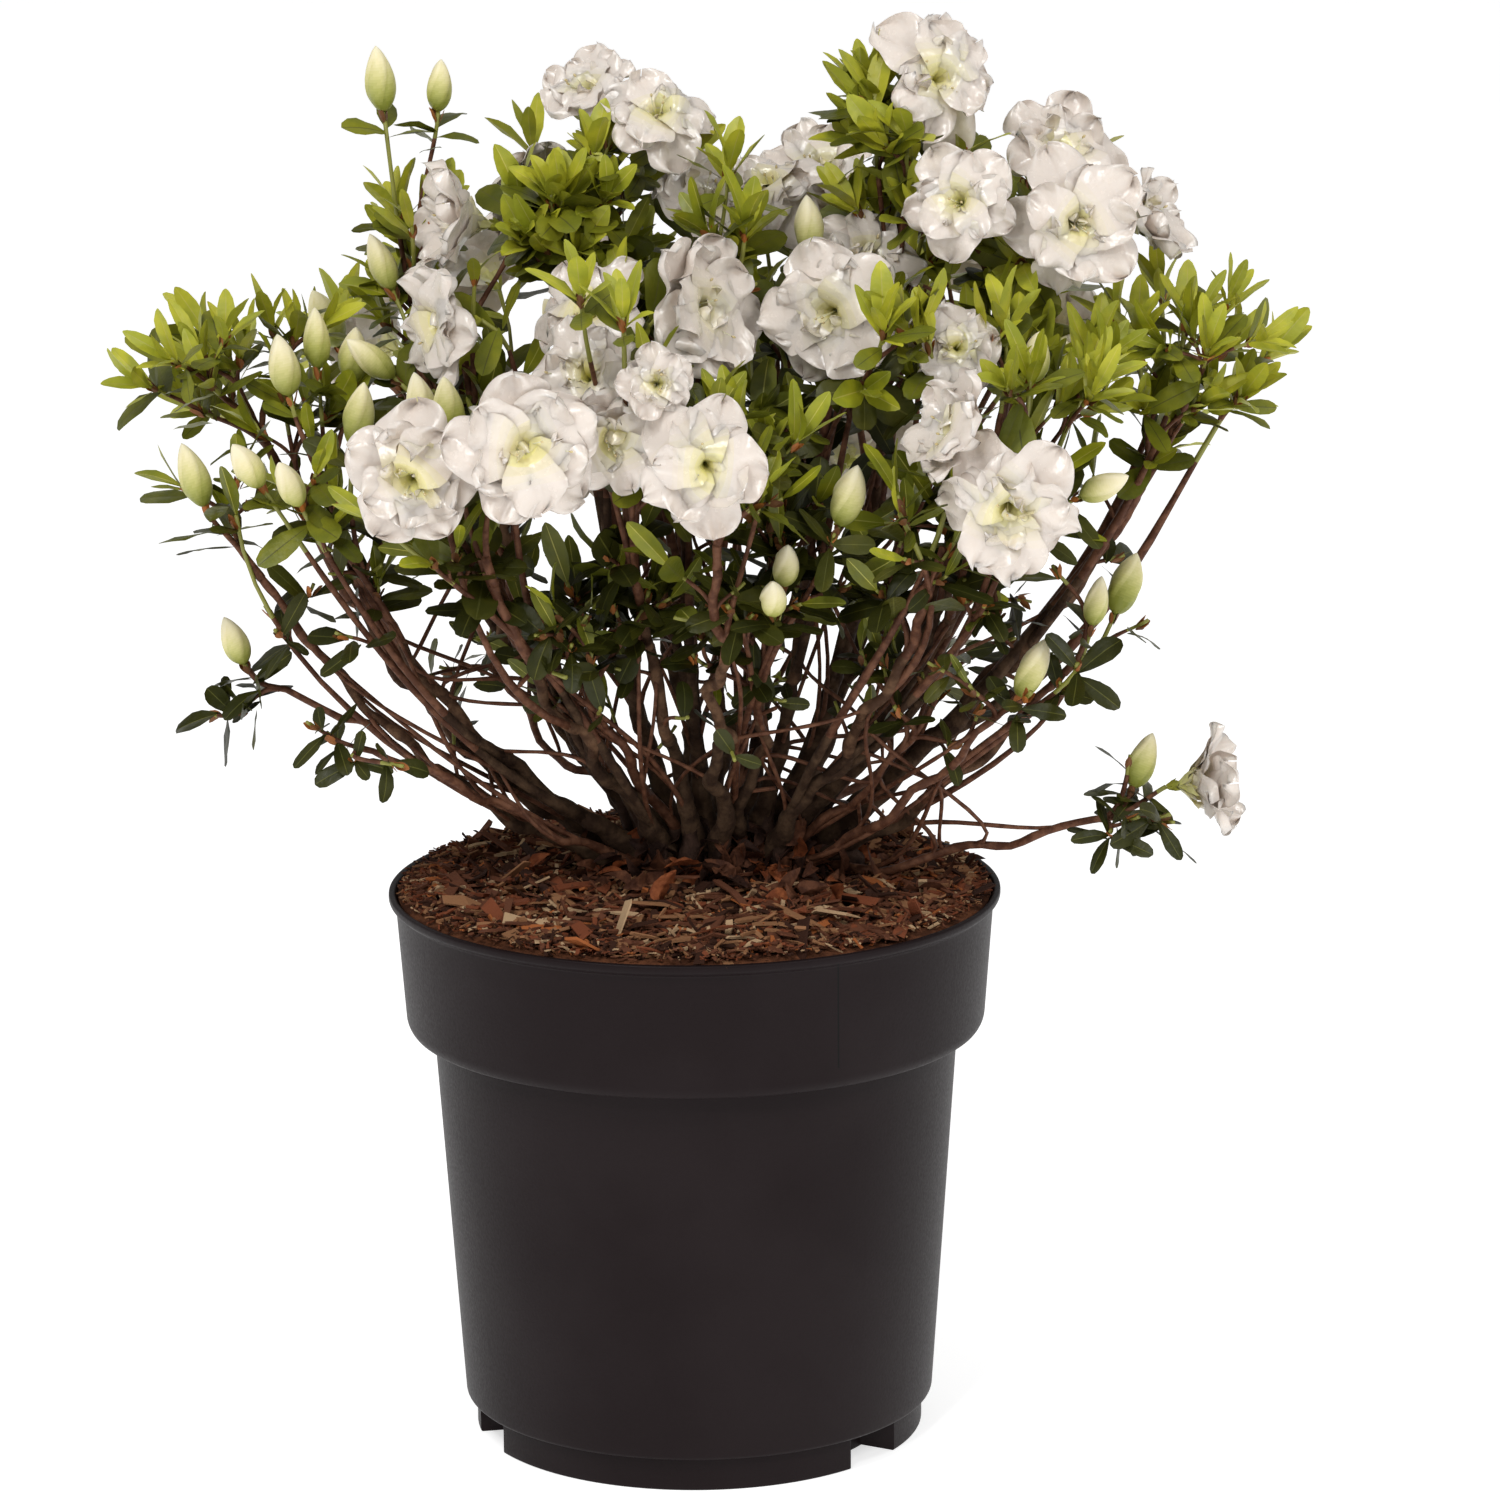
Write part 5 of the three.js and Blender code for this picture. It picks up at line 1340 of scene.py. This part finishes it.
def bud_grids(rows=24, columns=28):
    """The radius is a power of the share up the bud times a power of what is left, and steps at each
    ridge, a saw-tooth of the turn. The columns wind round with the share, so the ridges slant. Green
    runs a little further up at a ridge."""
    draw = np.random.default_rng(61)
    count = len(buds)
    foot, way = (column(buds, key) for key in ("foot", "way"))
    size, plump = (draw.uniform(low, high, (count, 1, 1)) for low, high in ((0.8, 1.1), (0.82, 1.06)))
    v = np.linspace(0.01, 0.995, rows)[None, :, None]
    turn = np.linspace(0, 2 * np.pi, columns, endpoint=False)[None, None, :]
    body, peak = (q ** BUD["foot_power"] * (1 - q) ** BUD["tip_power"] for q in (v, BUD["widest"]))
    ridge = (turn * BUD["ridges"] / (2 * np.pi) + 0.02) % 1
    steps = 1 + BUD["ridge"] * (ridge - 0.5) * np.sin(np.pi * v) ** 0.5
    radius = BUD["radius"] * plump * size * (body / peak) * steps
    turn = turn + BUD["slant"] * v + draw.uniform(0, 2 * np.pi, (count, 1, 1))
    side = across(way)
    first, second = side[:, None, None], np.cross(way, side)[:, None, None]
    ring = first * np.cos(turn)[..., None] + second * np.sin(turn)[..., None]
    height = way[:, None, None] * (BUD["length"] * size * v)[..., None]
    points = foot[:, None, None] + height + ring * radius[..., None]
    ripe = draw.uniform(-0.2, 0.1, (count, 1, 1))
    shade = 1.1 * v[:, :-1] + ripe + 0.1 * (ridge - 0.5)
    return skin(points, np.clip(np.floor(shade * BUD_SHADES), 0, BUD_SHADES - 1).astype(int))


bud_finishes = shaded_finishes("bud shade", BUD_SHADES, [
    (0.25, 0.27, 0.04), (0.42, 0.42, 0.11), (0.62, 0.58, 0.25), (0.76, 0.69, 0.41), (0.81, 0.735, 0.52),
], roughness=(0.38, 0.52), gloss=0.38, bump=0.12)
add_piece("flower_buds", [bud_grids()], bud_finishes)


def scale_skins():
    """Small pointed scales, cut and folded like leaves. Green sepals stand round each bloom and bud,
    and dry brown scales round each bud and shoot end."""
    draw = np.random.default_rng(67)
    skins = []
    green = [(b["foot"], b["facing"]) for b in blooms]
    green += [(b["foot"], b["way"]) for b in buds]
    dry = [(b["foot"] - 4 * b["way"], b["way"]) for b in buds]
    dry += [(t["end"] - 6 * t["way"], t["way"]) for t in tips if t["kind"] in ("side", "leafy")]
    for places, form in ((green, SEPALS), (dry, DRY_SCALES)):
        count = form["count"]
        foot, way = (np.repeat([p[k] for p in places], count, axis=0) for k in (0, 1))
        turn = np.tile(2 * np.pi * np.arange(count) / count, len(places)) + draw.uniform(0, 1, len(foot))
        out = beside(way, turn[:, None])
        angle = np.radians(form["open"] + draw.uniform(-12, 16, len(foot)))[:, None]
        along = way * np.cos(angle) + out * np.sin(angle)
        face = way * np.sin(angle) - out * np.cos(angle)
        size = draw.uniform(0.7, 1.2, len(foot))
        tints = form["tint"] + (draw.uniform(0, 1, len(foot)) < 0.45) * (form["tint"] > 0)
        length, width = form["length"] * size, form["width"] * size
        sheets = leaf_sheets(foot + out * 0.8, along, face, length, width, fold=0.5, bend=-0.1)
        skins.append(skin(sheets, tints[:, None, None], closed=False))
    return skins


add_piece("bud_scales", scale_skins(), [
    leaf_finish("sepal green", (0.26, 0.27, 0.04), (0.4, 0.55)),
    leaf_finish("rust scale", (0.3, 0.105, 0.026), (0.45, 0.6)),
    leaf_finish("brown scale", (0.15, 0.062, 0.022), (0.5, 0.65)),
])

# ---------------------------------------------------------------- fallen leaves
# Dry leaves have dropped on the mulch. They are curled, rust or brown, and most have drifted against the
# foot of the crown at the front, with dark litter caught between the butts of the stems.


FALLEN = {"length": (8, 16), "width": (4, 8), "fold": (0.5, 1.3), "bend": (0.4, 0.9), "rise": (-20, 65)}


def fallen_skin(count, nearest, furthest, spread, lift, tint_shares, seed):
    """Strongly bent leaves at bearings round the front, from one share of the crown's radii to another,
    each lying on the bed or higher up to the lift."""
    draw = np.random.default_rng(seed)
    bearing = np.radians(-90 + spread * draw.normal(size=count))
    share = draw.uniform(nearest, furthest, count)
    x = CROWN["x"] + CROWN["half_width"] * share * np.cos(bearing)
    y = CROWN["y"] + CROWN["half_depth"] * share * np.sin(bearing)
    height = compost_height(x, y) + 2 + lift * draw.uniform(0, 1, count) ** 1.5
    foot = np.stack([x, y, height], axis=-1)
    along = heading(draw.uniform(0, 360, count), draw.uniform(*FALLEN["rise"], count))
    face = unit(draw.normal(size=(count, 3)) + 0.6 * UP)
    shape = [draw.uniform(*FALLEN[key], count) for key in ("length", "width", "fold", "bend")]
    tints = draw.choice(len(tint_shares), size=(count, 1, 1), p=tint_shares)
    sheets = leaf_sheets(foot, along, face, *shape)
    return skin(sheets, tints, closed=False)


def dry_finish(name, colour, lighter):
    return finish(name, colour, (0.6, 0.8), 500, 0.8, patches=(lighter, 180), Specular_IOR_Level=0.15)


add_piece("fallen_leaves", [
    fallen_skin(110, 0.85, 1.3, 48, 7, [0.22, 0.5, 0.28], 71),
    fallen_skin(150, 0.3, 1.0, 80, 16, [0.03, 0.25, 0.72], 72),
    fallen_skin(70, 1.2, 2.4, 70, 2, [0.28, 0.57, 0.15], 73),
], [
    dry_finish("rust dry leaf", (0.16, 0.042, 0.015), (0.3, 0.09, 0.032)),
    dry_finish("brown dry leaf", (0.06, 0.021, 0.011), (0.135, 0.052, 0.026)),
    dry_finish("dark dry leaf", (0.022, 0.009, 0.006), (0.05, 0.021, 0.013)),
])

# ---------------------------------------------------------------- floor, light and camera
# A plain white floor under soft studio light, seen from a little above the shrub.

FLOOR_HALF = 14
floor_mesh = bpy.data.meshes.new("floor")
floor_mesh.from_pydata(
    [(-FLOOR_HALF, -FLOOR_HALF, 0), (FLOOR_HALF, -FLOOR_HALF, 0), (FLOOR_HALF, FLOOR_HALF, 0),
     (-FLOOR_HALF, FLOOR_HALF, 0)], [], [(0, 1, 2, 3)],
)
white = finish("white floor", (0.88, 0.88, 0.88), (0.7, 0.8), 30, 0.01, Emission_Strength=0.62)
floor_mesh.materials.append(white)
floor = bpy.data.objects.new("floor", floor_mesh)
bpy.context.scene.collection.objects.link(floor)

world = bpy.data.worlds.new("studio")
world.use_nodes = True
world.node_tree.nodes["Background"].inputs["Color"].default_value = (1, 1, 1, 1)
world.node_tree.nodes["Background"].inputs["Strength"].default_value = 0.42
bpy.context.scene.world = world
bpy.context.scene.view_settings.view_transform = "Standard"


def add_light(name, place, aim, width, power):
    """A square soft box at a place, turned towards a point."""
    data = bpy.data.lights.new(name, "AREA")
    data.size = width
    data.energy = power
    light = bpy.data.objects.new(name, data)
    light.location = place
    light.rotation_euler = (Vector(aim) - Vector(place)).to_track_quat("-Z", "Y").to_euler()
    bpy.context.scene.collection.objects.link(light)


add_light("key", (-0.8, -1.2, 2.1), (0, 0, 0.35), 0.7, 17)
add_light("sparkle", (-0.5, -1.7, 1.5), (0, 0, 0.35), 0.14, 7)
add_light("fill", (1.3, -1.1, 1.6), (0, 0, 0.35), 0.6, 11)

AIM = Vector((0.0212, 0, 0.262))
DISTANCE = 2.4
PITCH = np.radians(13.53)
ROLL = np.radians(0.43)
camera_data = bpy.data.cameras.new("camera")
camera_data.lens = 153.9
camera_data.sensor_width = 36
camera_data.clip_end = 60
camera = bpy.data.objects.new("camera", camera_data)
camera.location = AIM + DISTANCE * Vector((0, -np.cos(PITCH), np.sin(PITCH)))
looking = Matrix.Rotation(np.pi / 2 - PITCH, 3, "X") @ Matrix.Rotation(-ROLL, 3, "Z")
camera.rotation_euler = looking.to_euler()
bpy.context.scene.collection.objects.link(camera)
bpy.context.scene.camera = camera
